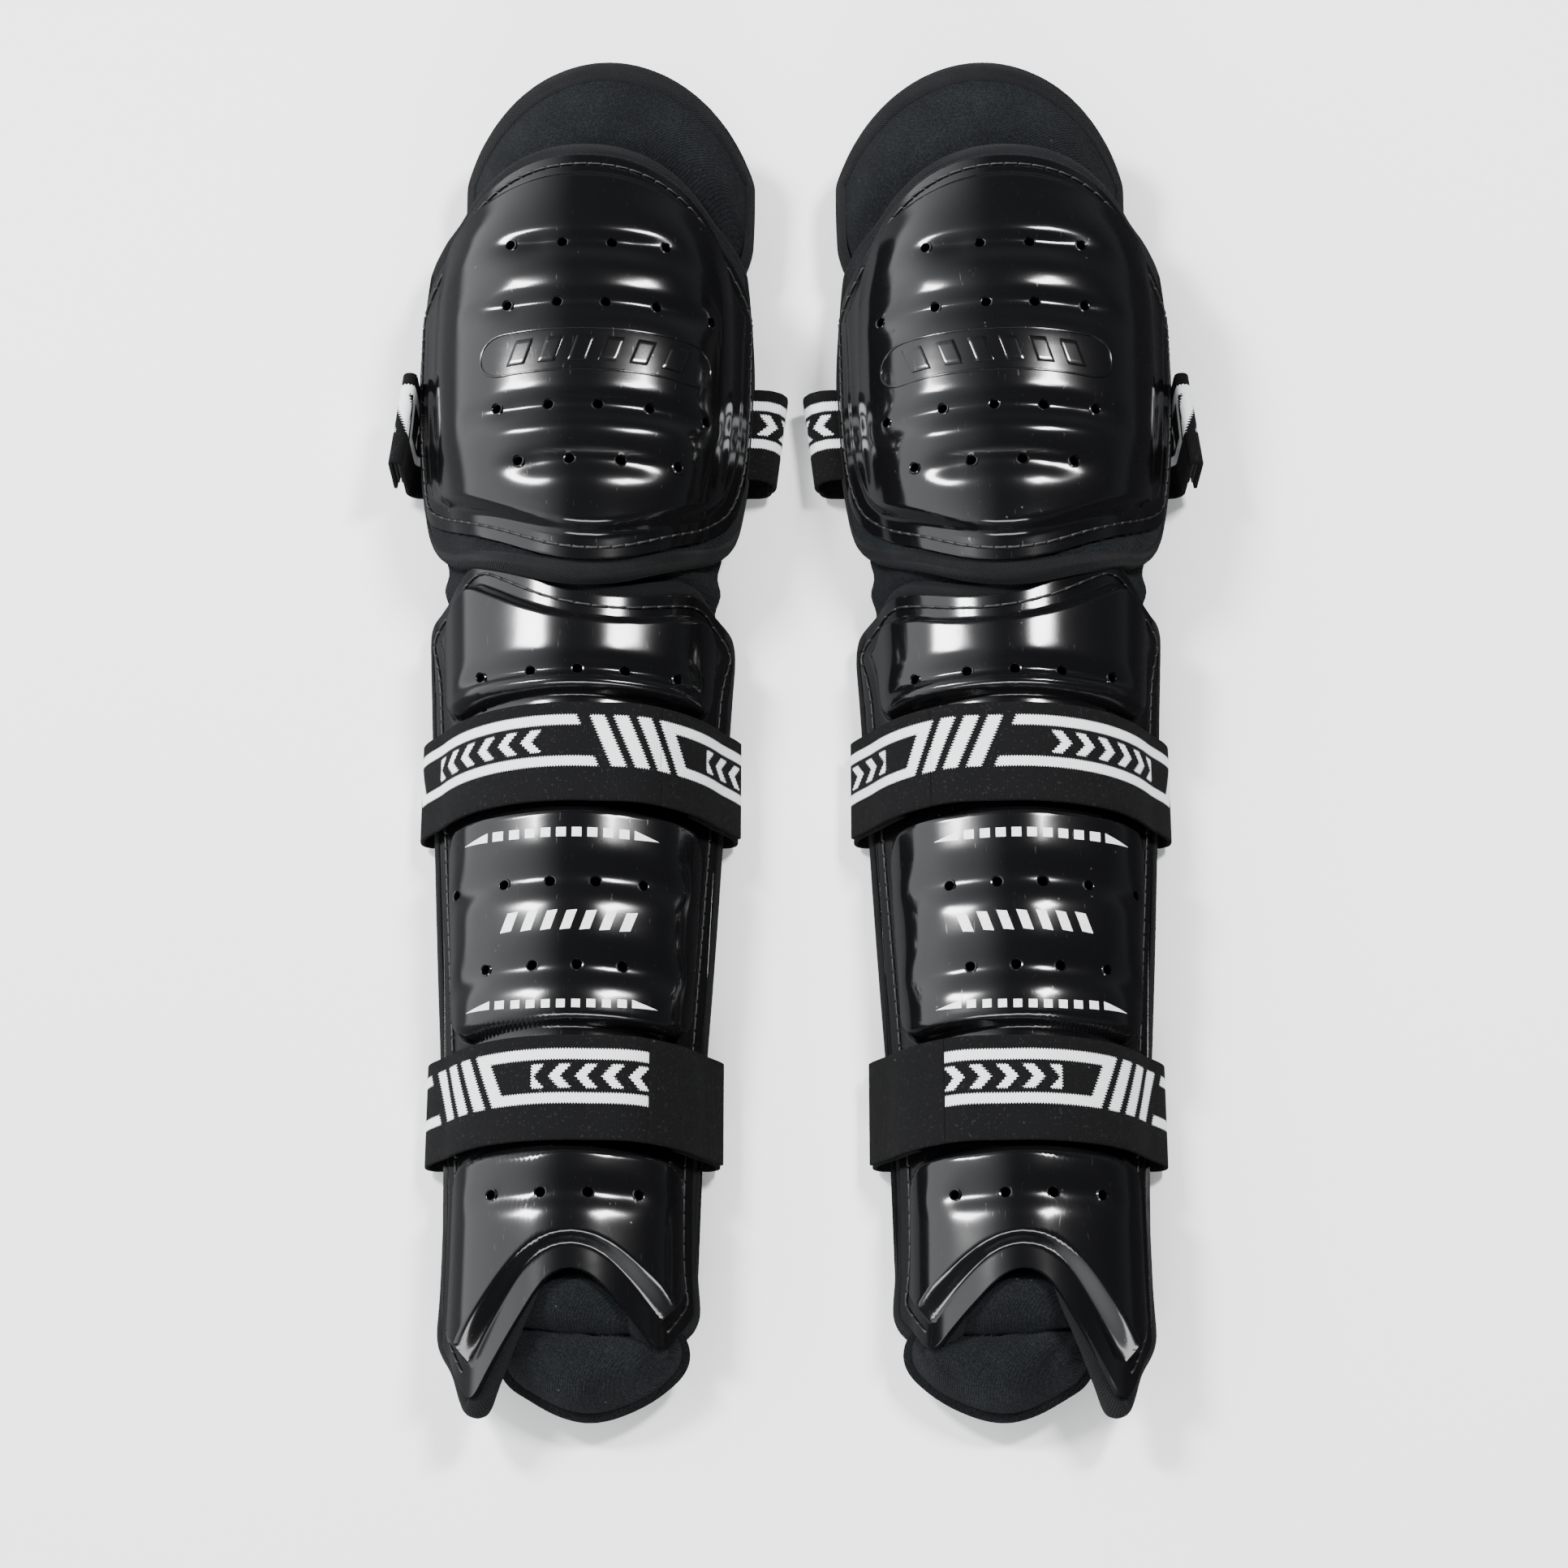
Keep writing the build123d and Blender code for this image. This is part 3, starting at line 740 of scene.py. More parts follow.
FINISHES = {
    "moulded_gloss_black": shell_material,
    "liner_knit": lambda name: cloth_material(name, looks().cloth_color),
    "rim_cloth": lambda name: cloth_material(name, [c * 0.8 for c in looks().cloth_color]),
    "herringbone_tape": tape_material,
    "woven_elastic": lambda name: elastic_material(name, True),
    "elastic_plain": lambda name: elastic_material(name, False),
    "waxed_thread": lambda name: plain_material(name, (0.003, 0.003, 0.003), 0.45, 3000.0, 0.0001),
    "hook_tape": lambda name: plain_material(name, (0.005, 0.005, 0.0055), 0.6, 1400.0, 0.0006),
    "loop_pile": lambda name: plain_material(name, (0.007, 0.007, 0.008), 0.95, 1800.0, 0.0006, 0.05),
    "white_print": lambda name: plain_material(name, (0.70, 0.70, 0.70), 0.30, 500.0, 0.00003),
    "studio_floor": floor_material,
}


def finished(name):
    """The material of a name, made when it is first asked for."""
    return bpy.data.materials.get(name) or FINISHES[name](name)


# ---- settings a user can change ----
class GuardLooks(bpy.types.PropertyGroup):
    """Colours and finishes of the guards."""

    shell_color: FloatVectorProperty(name="Shell", description="Colour of the moulded shells", subtype="COLOR",
                                     default=(0.0030, 0.0030, 0.0033), min=0, max=1)
    shell_roughness: FloatProperty(name="Shell roughness", description="Blur of the shell's gloss", default=0.10,
                                   min=0, max=1, subtype="FACTOR")
    cloth_color: FloatVectorProperty(name="Liner cloth", description="Colour of the knitted liner cloth",
                                     subtype="COLOR", default=(0.0030, 0.0038, 0.0044), min=0, max=1)
    tape_color: FloatVectorProperty(name="Edge tape", description="Colour of the herringbone tape", subtype="COLOR",
                                    default=(0.0046, 0.0049, 0.0056), min=0, max=1)
    elastic_color: FloatVectorProperty(name="Elastic", description="Ground colour of the straps", subtype="COLOR",
                                       default=(0.0020, 0.0020, 0.0023), min=0, max=1)
    white_color: FloatVectorProperty(name="Woven white", description="Colour of the woven pattern", subtype="COLOR",
                                     default=(0.86, 0.87, 0.88), min=0, max=1)


class GuardSizes(bpy.types.PropertyGroup):
    """Sizes of the trims."""

    strap_width: FloatProperty(name="Strap width", description="Width of the elastic straps", default=0.038,
                               unit="LENGTH", min=0.02, max=0.06)
    stitch_pitch: FloatProperty(name="Stitch pitch", description="Length of one stitch of the shell sewing",
                                default=0.0056, unit="LENGTH", min=0.002, max=0.01)
    vent: FloatProperty(name="Vent hole", description="Diameter of the vent holes", default=0.0039, unit="LENGTH",
                        min=0.001, max=0.01)


def looks():
    return bpy.context.scene.guard_looks


def sizes():
    return bpy.context.scene.guard_sizes


# ---- shells ----
def rise_at(rise, across, y):
    """A shell's rise at one place."""
    return float(rise(np.array([[across]]), np.array([[y]]))[0, 0])


def vent_places(channel, rows, rise):
    """Middle and outward direction of every vent hole."""
    places = []
    for y, middle, pitch, count in rows:
        for i in range(count):
            x = middle + (i - (count - 1) / 2) * pitch
            across = channel.nominal * math.asin(x / float(radius(channel, y)))
            point = around(channel, across, y, rise_at(rise, across, y))
            turn = across / channel.nominal
            places.append((place([point])[0], Vector((math.sin(turn), 0, math.cos(turn)))))
    return places


def drill(piece, places):
    """Bores the vent holes."""
    tools = []
    for middle, out in places:
        clear_selection()
        bpy.ops.mesh.primitive_cylinder_add(vertices=24, radius=sizes().vent / 2, depth=0.03, location=middle,
                                            rotation=out.to_track_quat("Z", "Y").to_euler())
        tools.append(bpy.context.active_object)
    clear_selection()
    for tool in tools:
        tool.select_set(True)
    bpy.context.view_layer.objects.active = tools[0]
    bpy.ops.object.transform_apply(location=True, rotation=True, scale=True)
    cutter = joined("vent_cutter", tools)
    cut = piece.modifiers.new("vents", "BOOLEAN")
    cut.object = cutter
    cut.operation = "DIFFERENCE"
    cut.solver = "MANIFOLD"
    apply_modifiers(piece)
    bpy.data.objects.remove(cutter)


def eyelets(name, places):
    """The bright eased edge of every vent hole, as small rings."""
    rings = []
    for middle, out in places:
        clear_selection()
        bpy.ops.mesh.primitive_torus_add(major_segments=20, minor_segments=5, minor_radius=0.00042,
                                         major_radius=sizes().vent / 2 + 0.00025,
                                         location=Vector(middle) - out * 0.00022,
                                         rotation=out.to_track_quat("Z", "Y").to_euler())
        rings.append(bpy.context.active_object)
    piece = joined(name, rings)
    make_active(piece)
    bpy.ops.object.transform_apply(location=True, rotation=True, scale=True)
    shade(piece, 60)
    return piece


def build_shell(part, channel, outline, rise_of, columns, rows, vents, middle_y):
    """Moulded shell of the knee or shin guard, with its vent holes and their rims."""

    def rise(across, y):
        return rise_of(across, y, outline)

    points, across, y = shell_points(channel, outline, rise, columns, rows)
    piece = grid_piece(f"left_{part}_shell_moulded", points, np.stack([across, y], -1))
    face_outward(piece, (-CENTRE / 1000, middle_y, 0.0))
    solid(piece, WALL, 0.7, 3)
    places = vent_places(channel, vents, rise)
    drill(piece, places)
    shade(piece, 42)
    both_sides(piece, part + "_guard", [part + "_shell"], "moulded_gloss_black")
    rims = eyelets(f"left_{part}_vent_rims", places)
    both_sides(rims, part + "_guard", (), "moulded_gloss_black")


def build_knee_shell():
    build_shell("knee", KNEE, knee_outline(), knee_rise, 168, 150, KNEE_VENTS, 0.14)


def build_shin_shell():
    build_shell("shin", SHIN, shin_outline(), shin_rise, 104, 330, SHIN_VENTS, -0.08)


# a stitch along its length: part of the pitch, lift over the flange, half thickness
THREAD = ((0.00, -0.2, 0.62), (0.14, 0.30, 0.60), (0.5, 0.30, 0.44), (0.86, 0.30, 0.60), (1.00, -0.2, 0.62))


def build_stitching(name, channel, outline, body, node, keep=None):
    """Lockstitch along the sewing flange: short threads dipping into small holes."""
    line = np.array(grown(outline, -4.3))
    ring = np.vstack([line, line[:1]])
    run = np.hypot(*np.diff(ring, axis=0).T)
    along = np.concatenate([[0], np.cumsum(run)])
    pitch = sizes().stitch_pitch * 1000
    count = int(along[-1] // pitch)
    spots = np.linspace(0, along[-1], count, endpoint=False)

    def at(distance):
        across = np.interp(distance % along[-1], along, ring[:, 0])
        y = np.interp(distance % along[-1], along, ring[:, 1])
        return across, y

    vertices, faces = [], []
    for spot in spots:
        middle = at(spot + pitch / 2)
        if keep is not None and not keep(*middle):
            continue
        sections = []
        for part, lift, thick in THREAD:
            across, y = at(spot + part * pitch)
            centre = around(channel, across, y, FLANGE_RISE + lift)
            ahead = around(channel, *at(spot + part * pitch + 0.5), FLANGE_RISE + lift)
            sections.append((centre, ahead - centre, across, thick))
        base = len(vertices)
        for centre, direction, across, thick in sections:
            direction = direction / np.linalg.norm(direction)
            turn = across / channel.nominal
            up = np.array([math.sin(turn), 0, math.cos(turn)])
            side_way = np.cross(direction, up)
            for k in range(6):
                angle = 2 * math.pi * k / 6
                vertices.append(centre + thick * (math.cos(angle) * side_way + math.sin(angle) * up))
        for s in range(4):
            for k in range(6):
                a, b = base + s * 6 + k, base + s * 6 + (k + 1) % 6
                faces.append((a, b, b + 6, a + 6))
        faces.append(tuple(base + k for k in reversed(range(6))))
        faces.append(tuple(base + 24 + k for k in range(6)))
    piece = mesh_piece("left_" + name, place(vertices), faces)
    even_normals(piece)
    shade(piece, 80)
    both_sides(piece, body, [node], "waxed_thread")


# ---- padded liners ----
def closed_slab(name, front, back, uv=None):
    """Closed mesh between two grids of points with the same rows and columns."""
    rows, columns = front.shape[:2]
    count = rows * columns
    faces = []
    for r in range(rows - 1):
        for c in range(columns - 1):
            a = r * columns + c
            faces.append((a, a + 1, a + columns + 1, a + columns))
            faces.append((count + a, count + a + columns, count + a + columns + 1, count + a + 1))
    rim = list(range(columns))
    rim += [r * columns + columns - 1 for r in range(1, rows)]
    rim += [(rows - 1) * columns + c for c in reversed(range(columns - 1))]
    rim += [r * columns for r in reversed(range(1, rows - 1))]
    for a, b in zip(rim, rim[1:] + rim[:1]):
        faces.append((b, a, count + a, count + b))
    piece = mesh_piece(name, np.vstack([place(front), place(back)]), faces, uv)
    even_normals(piece)
    return piece


def slab_piece(name, channel, outline, outer, inner, columns, rows):
    """Closed padded slab between an outer and an inner face, with a rounded edge."""
    front, across, y = shell_points(channel, outline, outer, columns, rows)
    back = shell_points(channel, outline, inner, columns, rows)[0]
    uv = np.stack([across, y], -1).reshape(-1, 2)
    piece = closed_slab(name, front, back, np.vstack([uv, uv]))
    add_bevel(piece, 2.6, 3)
    apply_modifiers(piece)
    shade(piece, 70)
    return piece


def quilting(across, y, pitch_across, pitch_y, depth=1.5):
    """Soft rolls between seams on the leg side of a liner."""
    rolls = np.abs(np.sin(np.pi * (across + pitch_across / 2) / pitch_across)) ** 0.5
    rows = np.abs(np.sin(np.pi * y / pitch_y)) ** 0.5
    return depth * rolls * rows


def column_cover(across, y, outline):
    """1 inside an outline, 0 outside, for outlines with one span per column."""
    flat = np.unique(np.round(across, 4))
    low, high = column_limits(flat, outline)
    low_at = np.interp(across, flat, np.where(low < 1e8, low, 0))
    high_at = np.interp(across, flat, np.where(high > -1e8, high, -1))
    ring = np.array(outline)
    within = (across >= ring[:, 0].min()) & (across <= ring[:, 0].max())
    return ((y >= low_at) & (y <= high_at) & within).astype(float)


def build_liner(part, channel, shell, outline, lifted, quilt, columns, rows, leg):
    """Padded liner of the knee or shin guard with its edge tape; the side edges lift between two distances round."""

    def outer(across, y):
        free = 1 - smooth(0, 1, column_cover(across, y, shell) * edge_distance(across, y, shell))
        puff = lifted["puff"] * smooth(0, 6, edge_distance(across, y, outline)) * free
        lift = 2.4 * smooth(*lifted["between"], np.abs(across)) * free
        return -1.2 + puff + lift + 0.9 * free

    def inner(across, y):
        return -7.6 - quilting(across, y, *quilt) * smooth(0, 10, edge_distance(across, y, outline))

    piece = slab_piece(f"left_{part}_liner", channel, outline, outer, inner, columns, rows)
    nodes = [f"{part}_{layer}" for layer in ("cover", "foam", "lining")]
    both_sides(piece, part + "_guard", nodes, "liner_knit")
    edge_tape(part + "_edge_tape", channel, outline, outer, inner, part + "_guard", part + "_binding", leg)


def build_knee_liner():
    outline = knee_outline(6.0, 57.5, 90.0, KNEE_LINER_LOW)
    lifted = {"puff": 1.6, "between": (76, 92)}
    build_liner("knee", KNEE, knee_outline(), outline, lifted, (21.0, 30.0), 110, 90, 5.2)


def build_shin_liner():
    outline = shin_outline(4.5, 65.5, SHIN_LINER_LOW)
    lifted = {"puff": 1.2, "between": (57, 65)}
    build_liner("shin", SHIN, shin_outline(), outline, lifted, (20.0, 34.0), 84, 150, 3.6)


def edge_tape(name, channel, outline, outer, inner, body, node, leg, proud=0.5):
    """Tape folded over the edge of a padded panel."""
    ring = np.array(outline, float)
    keep = [0]
    for i in range(1, len(ring)):
        if np.hypot(*(ring[i] - ring[keep[-1]])) > 1.6:
            keep.append(i)
    ring = ring[keep]
    dense = []
    for start, end in zip(ring, np.roll(ring, -1, axis=0)):
        steps = max(1, int(np.hypot(*(end - start)) / 3.0))
        dense += [start + (end - start) * k / steps for k in range(steps)]
    ring = np.array(dense)
    before, after = np.roll(ring, 1, axis=0), np.roll(ring, -1, axis=0)
    run = after - before
    run /= np.hypot(run[:, 0], run[:, 1])[:, None]
    area = np.sum(ring[:, 0] * after[:, 1] - after[:, 0] * ring[:, 1])
    outward = np.stack([run[:, 1], -run[:, 0]], -1) * (1 if area > 0 else -1)
    front = outer(ring[:, 0], ring[:, 1])
    back = inner(ring[:, 0], ring[:, 1])
    steps = np.hypot(*(after - ring).T)
    along = np.concatenate([[0], np.cumsum(steps)])
    profile = [(-leg, 0.25, 0), (-leg * 0.5, 0.25 + proud, 0), (0.0, 0.1 + proud, 0), (1.6, -1.0, 0), (2.3, 0, 0.5),
               (1.6, 1.0, 1), (0.0, -0.1 - proud, 1), (-leg * 0.5, -0.25 - proud, 1), (-leg, -0.25, 1)]
    travel = [0.0]
    for (a0, b0, _), (a1, b1, _) in zip(profile, profile[1:]):
        travel.append(travel[-1] + max(1.5, math.hypot(a1 - a0, b1 - b0)))
    rows = []
    for out, lift, part in profile:
        across = ring[:, 0] + outward[:, 0] * out
        y = ring[:, 1] + outward[:, 1] * out
        level = front * (1 - part) + back * part + lift
        rows.append(around(channel, across, y, level))
    count = len(ring)
    grid = np.array(rows)
    grid = np.concatenate([grid, grid[:, :1]], axis=1)
    vertices, uvs, faces = [], [], []
    for r in range(len(profile)):
        for c in range(count + 1):
            vertices.append(grid[r, c])
            uvs.append((along[c], travel[r]))
    for r in range(len(profile) - 1):
        for c in range(count):
            a = r * (count + 1) + c
            faces.append((a, a + 1, a + count + 2, a + count + 1))
    piece = mesh_piece("left_" + name, place(vertices), faces, uvs)
    even_normals(piece, 0.00002)
    wall = piece.modifiers.new("wall", "SOLIDIFY")
    wall.thickness = 0.0007
    wall.offset = 1.0
    round_off = piece.modifiers.new("round", "SUBSURF")
    round_off.levels = round_off.render_levels = 1
    apply_modifiers(piece)
    shade(piece, 80)
    both_sides(piece, body, [node], "herringbone_tape")


def thigh_outline():
    """Unrolled edge of the thigh flap: round top, hollow bottom."""
    plan = [(x + THIGH.shift, 230 + 48 * math.sqrt(1 - (x / 61.0) ** 2)) for x in np.linspace(-58, 58, 21)]
    top = unrolled(THIGH, plan, 0.6)
    low = unrolled(THIGH, [(52, 207), (36, 223), (4, 230), (-30, 221), (-46, 204)], 0.6)
    points = [(-69.5, 220), *top, (69.5, 220), (68.5, 200), *low, (-68.5, 200)]
    radii = [10] + [0] * len(top) + [10, 8, 8, 20, 26, 20, 8, 8]
    return rounded(points, radii)


def build_thigh_flap():
    outline = thigh_outline()

    def outer(across, y):
        gap = edge_distance(across, y, outline)
        tuck = 4.5 * (1 - smooth(226, 246, y + 0.006 * across ** 2))
        return -1.5 + 2.0 * smooth(0, 22, gap) - tuck * (np.abs(across) < 200)

    def inner(across, y):
        gap = edge_distance(across, y, outline)
        return outer(across, y) - 6.5 - 1.5 * smooth(0, 18, gap)

    piece = slab_piece("left_thigh_flap", THIGH, outline, outer, inner, 70, 44)
    for each in both_sides(piece, "thigh_flap", ["thigh_cover", "thigh_foam"], "liner_knit"):
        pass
    edge_tape("thigh_edge_tape", THIGH, outline, outer, inner, "thigh_flap", "thigh_binding", 7.0, 0.7)


def build_thigh_hinge():
    """Cloth strip that joins the thigh flap to the knee liner."""
    x = np.linspace(-50, 54, 60)[None, :]
    t = np.linspace(0, 1, 26)[:, None]
    knee_reach = float(radius(KNEE, 221)) - 6.4
    thigh_reach = float(radius(THIGH, 246)) - 2.6
    knee_z = KNEE.axis + np.sqrt(np.clip(knee_reach ** 2 - (x * 0.86) ** 2, 0, None))
    thigh_z = THIGH.axis + np.sqrt(np.clip(thigh_reach ** 2 - (x - THIGH.shift) ** 2, 0, None))
    start_y = 221 - 0.0045 * x ** 2
    end_y = 246 - 0.0075 * x ** 2
    ease = t * t * (3 - 2 * t)
    z = knee_z * (1 - ease) + thigh_z * ease - 1.2 * np.sin(np.pi * t) + 0.4 * np.sin(x * 0.35) * np.sin(np.pi * t)
    y = start_y * (1 - t) + end_y * t
    points = np.stack([x * (1 - 0.14 * (1 - t)), y, z], -1)
    uv = np.stack(np.broadcast_arrays(x, y), -1)
    piece = grid_piece("left_thigh_hinge_cloth", points, uv)
    face_outward(piece, (-CENTRE / 1000, 0.215, 0.0))
    solid(piece, 2.0, 0.6, 2)
    shade(piece, 70)
    pair = both_sides(piece, None, (), "liner_knit")
    for side, each in zip(SIDES, pair):
        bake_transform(each)


def build_gusset():
    """Knitted sleeve that bridges the shin and knee liners."""
    low_edge = [(-70, 34), (-50, 62), (-38, 70), (4, 46), (44, 56), (56, 44), (70, 30)]
    high_edge = [(70, 112), (54, 104), (4, 96), (-50, 108), (-70, 116)]
    outline = low_edge + high_edge

    def outer(across, y):
        puff = 1.5 * np.sin(np.pi * np.clip((y - 45) / 60, 0, 1))
        folds = 0.8 * np.sin(y * 0.42 + 0.05 * across) * smooth(20, 60, np.abs(across))
        return -3.4 + puff + folds + 2.5 * smooth(45, 70, np.abs(across))

    points, across, y = shell_points(GUSSET, outline, outer, 72, 44)
    piece = grid_piece("left_knee_gusset_cloth", points, np.stack([across, y], -1))
    face_outward(piece, (-CENTRE / 1000, 0.08, 0.0))
    solid(piece, 3.0, 0.8, 2)
    shade(piece, 70)
    pair = both_sides(piece, None, ["knee_gusset"], "liner_knit")
    for side, each in zip(SIDES, pair):
        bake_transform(each)


# ---- instep pad ----
INSTEP_SLOPE = math.radians(21.0)


def instep_outline(grow=0.0):
    points = [(-11 - grow, -192), (11 + grow, -192), (25 + grow, -202), (42 + grow, -214),
              (42 + grow, -224 - grow / 2), (30, -235 - grow), (12, -242 - grow), (-2, -240 - grow),
              (-22 - grow, -228 - grow / 2), (-24 - grow, -214), (-18 - grow, -201)]
    return rounded(points, [5, 5, 8, 6, 8, 12, 9, 9, 8, 8, 8])


def instep_level(x, y):
    """Height of the pad's middle plane, sloping to the toes and falling off to both sides."""
    return 40.0 - (-190 - y) * math.tan(INSTEP_SLOPE) - 0.0055 * (x - 8) ** 2


def build_instep_pad():
    outline = instep_outline(-1.2)
    ring = np.array(outline)
    columns, rows = 60, 64
    xs = spread(ring[:, 0].min() + 1e-4, ring[:, 0].max() - 1e-4, columns)
    low, high = column_limits(xs, outline)
    part = spread(0, 1, rows, 0.2)[:, None]
    y = low[None, :] + part * (high - low)[None, :]
    x = np.broadcast_to(xs[None, :], y.shape)
    gap = edge_distance(x, y, outline)
    crease_y = -215 + 0.004 * (x - 8) ** 2 - 0.05 * (x - 8)
    crease = np.exp(-(np.abs(y - crease_y) / 3.0) ** 1.6) * smooth(0, 6, gap)
    swell = np.clip(np.abs(y - crease_y) / 12.0, 0, 1)
    dome = 1 - (1 - np.clip(gap / 20.0, 0, 1)) ** 2
    crown = 15.5 * np.sqrt(dome) * (0.55 + 0.45 * np.sqrt(swell))
    pucker = 0.35 * np.sin(x * 0.55 + y * 0.21) * np.exp(-np.abs(y - crease_y) / 6.0)
    for x0, y0, slope, depth in ((-9.0, -222.0, -0.75, 1.7), (30.0, -224.0, 0.8, 1.3), (12.0, -231.0, 0.15, 0.8)):
        away = (x - x0) - slope * (y - y0)
        pucker = pucker - depth * np.exp(-(away / 2.6) ** 2) * np.exp(-((y - y0) / 9.0) ** 2)
    sag = instep_level(x, y)
    top = sag - 8.0 + crown - 2.4 * crease + pucker
    bottom = sag - 8.6 - 3.0 * np.sqrt(np.clip(gap / 12.0, 0, 1))
    bottom = np.maximum(bottom, 1.0)
    piece = closed_slab("left_instep_cushions", np.stack([x, y, top], -1), np.stack([x, y, bottom], -1))
    shade(piece, 60)
    pair = both_sides(piece, "instep_pad", ["instep_cover", "instep_foam"], "liner_knit")
    build_instep_flange()


def build_instep_flange():
    """Seam allowance round the cushions: a thin folded rim."""
    inner, outer = np.array(instep_outline(-1.6)), np.array(instep_outline(1.5))
    count = len(inner)
    vertices, faces = [], []
    for ring, lift in ((inner, -6.4), (outer, -6.9), (outer, -8.2), (inner, -8.7)):
        for x, y in ring:
            vertices.append((x, y, max(0.8, instep_level(x, y) + lift)))
    for level in range(4):
        for i in range(count):
            a, b = level * count + i, level * count + (i + 1) % count
            c, d = ((level + 1) % 4) * count + (i + 1) % count, ((level + 1) % 4) * count + i
            faces.append((a, b, c, d))
    piece = mesh_piece("left_instep_rim", place(vertices), faces)
    even_normals(piece)
    add_bevel(piece, 0.4, 2, 30)
    apply_modifiers(piece)
    shade(piece, 50)
    both_sides(piece, "instep_pad", ["instep_binding"], "rim_cloth")


# ---- straps ----
def strap_point(reach, angle):
    """Place of a strap that lies over the shin channel at an angle from its top, in degrees."""
    turn = math.radians(angle)
    return (reach * math.sin(turn) + float(flare(SHIN, np.array(turn))), SHIN.axis + reach * math.cos(turn))


def strap_reach(y):
    """Reach of a calf strap's middle from the channel's axis, clear of the liner at its thick end."""
    return float(radius(SHIN, y + 19)) + 4.6


def loop_path(reach_of, low=0.9, corner=4.0, start=-50.0, end=34.0):
    """Section of a strap round a guard, from start under the guard and back over to end (degrees)."""
    points = []
    side_z = low + corner + 1.5
    for angle in np.linspace(-start, 88, 34):
        point = strap_point(reach_of(-abs(angle)), angle)
        if point[1] > side_z:
            points.append(point)
    half = points[-1][0]
    turns = np.radians(np.linspace(0, 90, 7))
    for turn in turns:
        points.append((half - corner + corner * math.cos(turn), low + corner - corner * math.sin(turn)))
    for x in np.linspace(half - corner, -half + corner, 24)[1:-1]:
        points.append((x, low + 0.5 * math.sin(math.pi * x / half) ** 2))
    for turn in turns[::-1]:
        points.append((-half + corner - corner * math.cos(turn), low + corner - corner * math.sin(turn)))
    for angle in np.linspace(-88, end, 90):
        point = strap_point(reach_of(angle), angle)
        if angle > 0 or point[1] > side_z:
            points.append(point)
    return np.array(points)


def resampled(path, pitch):
    steps = np.hypot(*np.diff(path, axis=0).T)
    along = np.concatenate([[0], np.cumsum(steps)])
    count = max(4, int(along[-1] / pitch))
    spots = np.linspace(0, along[-1], count)
    return np.stack([np.interp(spots, along, path[:, 0]), np.interp(spots, along, path[:, 1])], -1), spots


def band_piece(name, path, y, width, phase=0.0, thickness=1.5, pitch=1.6, lean=0.0, flip=False):
    """Strip of webbing along a section path; the map runs along it in millimetres from phase."""
    path, spots = resampled(path, pitch)
    rows = np.linspace(-0.5, 0.5, 15)
    points = np.zeros((len(path), len(rows), 3))
    uv = np.zeros((len(path), len(rows), 2))
    for j, part in enumerate(rows):
        points[:, j, 0] = path[:, 0] + lean * part * width
        points[:, j, 1] = y + part * width
        points[:, j, 2] = path[:, 1]
        uv[:, j, 0] = (spots[-1] - spots if flip else spots) + phase
        uv[:, j, 1] = (0.5 - part) * width
    piece = grid_piece(name, points, uv)
    solid(piece, thickness, 0.45, 2, offset=0.0)
    shade(piece, 60)
    return piece


def build_calf_strap(which, phase):
    """Elastic loop with its free end folded over the inner side, hook tape under the end."""
    y = CALF_STRAPS[which]
    base = strap_reach(y)
    width = sizes().strap_width * 1000

    def reach_of(angle):
        swell = 1.6 * (abs(angle) / 90.0) ** 3 if angle < 0 else 0.0
        climb = 3.2 * float(smooth(6, 30, np.array(angle)))
        return base + swell + (climb if angle > 0 else 0.0)

    path = loop_path(reach_of, end=34.0)
    band = band_piece(f"left_calf_strap_{which}_band", path, y, width, phase, flip=True)
    both_sides(band, "shin_guard", [f"calf_strap_{which}"], "woven_elastic")

    over = []
    for angle in np.linspace(34.0, 80.0, 40):
        reach = base + 3.2 + 0.3 * float(smooth(34, 60, np.array(angle)))
        over.append(strap_point(reach, angle))
    length = np.sum(np.hypot(*np.diff(np.array(over), axis=0).T))
    tab = band_piece(f"left_calf_tab_{which}_end", np.array(over), y, width, phase - length, flip=True)
    both_sides(tab, f"calf_tab_{which}", [f"calf_tab_{which}"],
               "woven_elastic" if which == "upper" else "elastic_plain")

    hooks = [strap_point(base + 1.9, angle) for angle in np.linspace(50.0, 79.0, 24)]
    tape = band_piece(f"left_calf_hooks_{which}_tape", np.array(hooks), y, width - 3, thickness=0.8)
    both_sides(tape, f"calf_tab_{which}", [f"calf_hooks_{which}"], "hook_tape")


def build_loop_patches():
    """Loop pile on the start of both calf straps."""
    strips = []
    for which, y in CALF_STRAPS.items():
        points = [strap_point(strap_reach(y) + 0.95, angle) for angle in np.linspace(51.0, 79.0, 24)]
        width = sizes().strap_width * 1000 - 3
        strips.append(band_piece(f"left_pile_{which}", np.array(points), y, width, thickness=0.6))
    piece = joined("left_calf_loop_pile", strips)
    both_sides(piece, "shin_guard", ["calf_loop_patches"], "loop_pile")


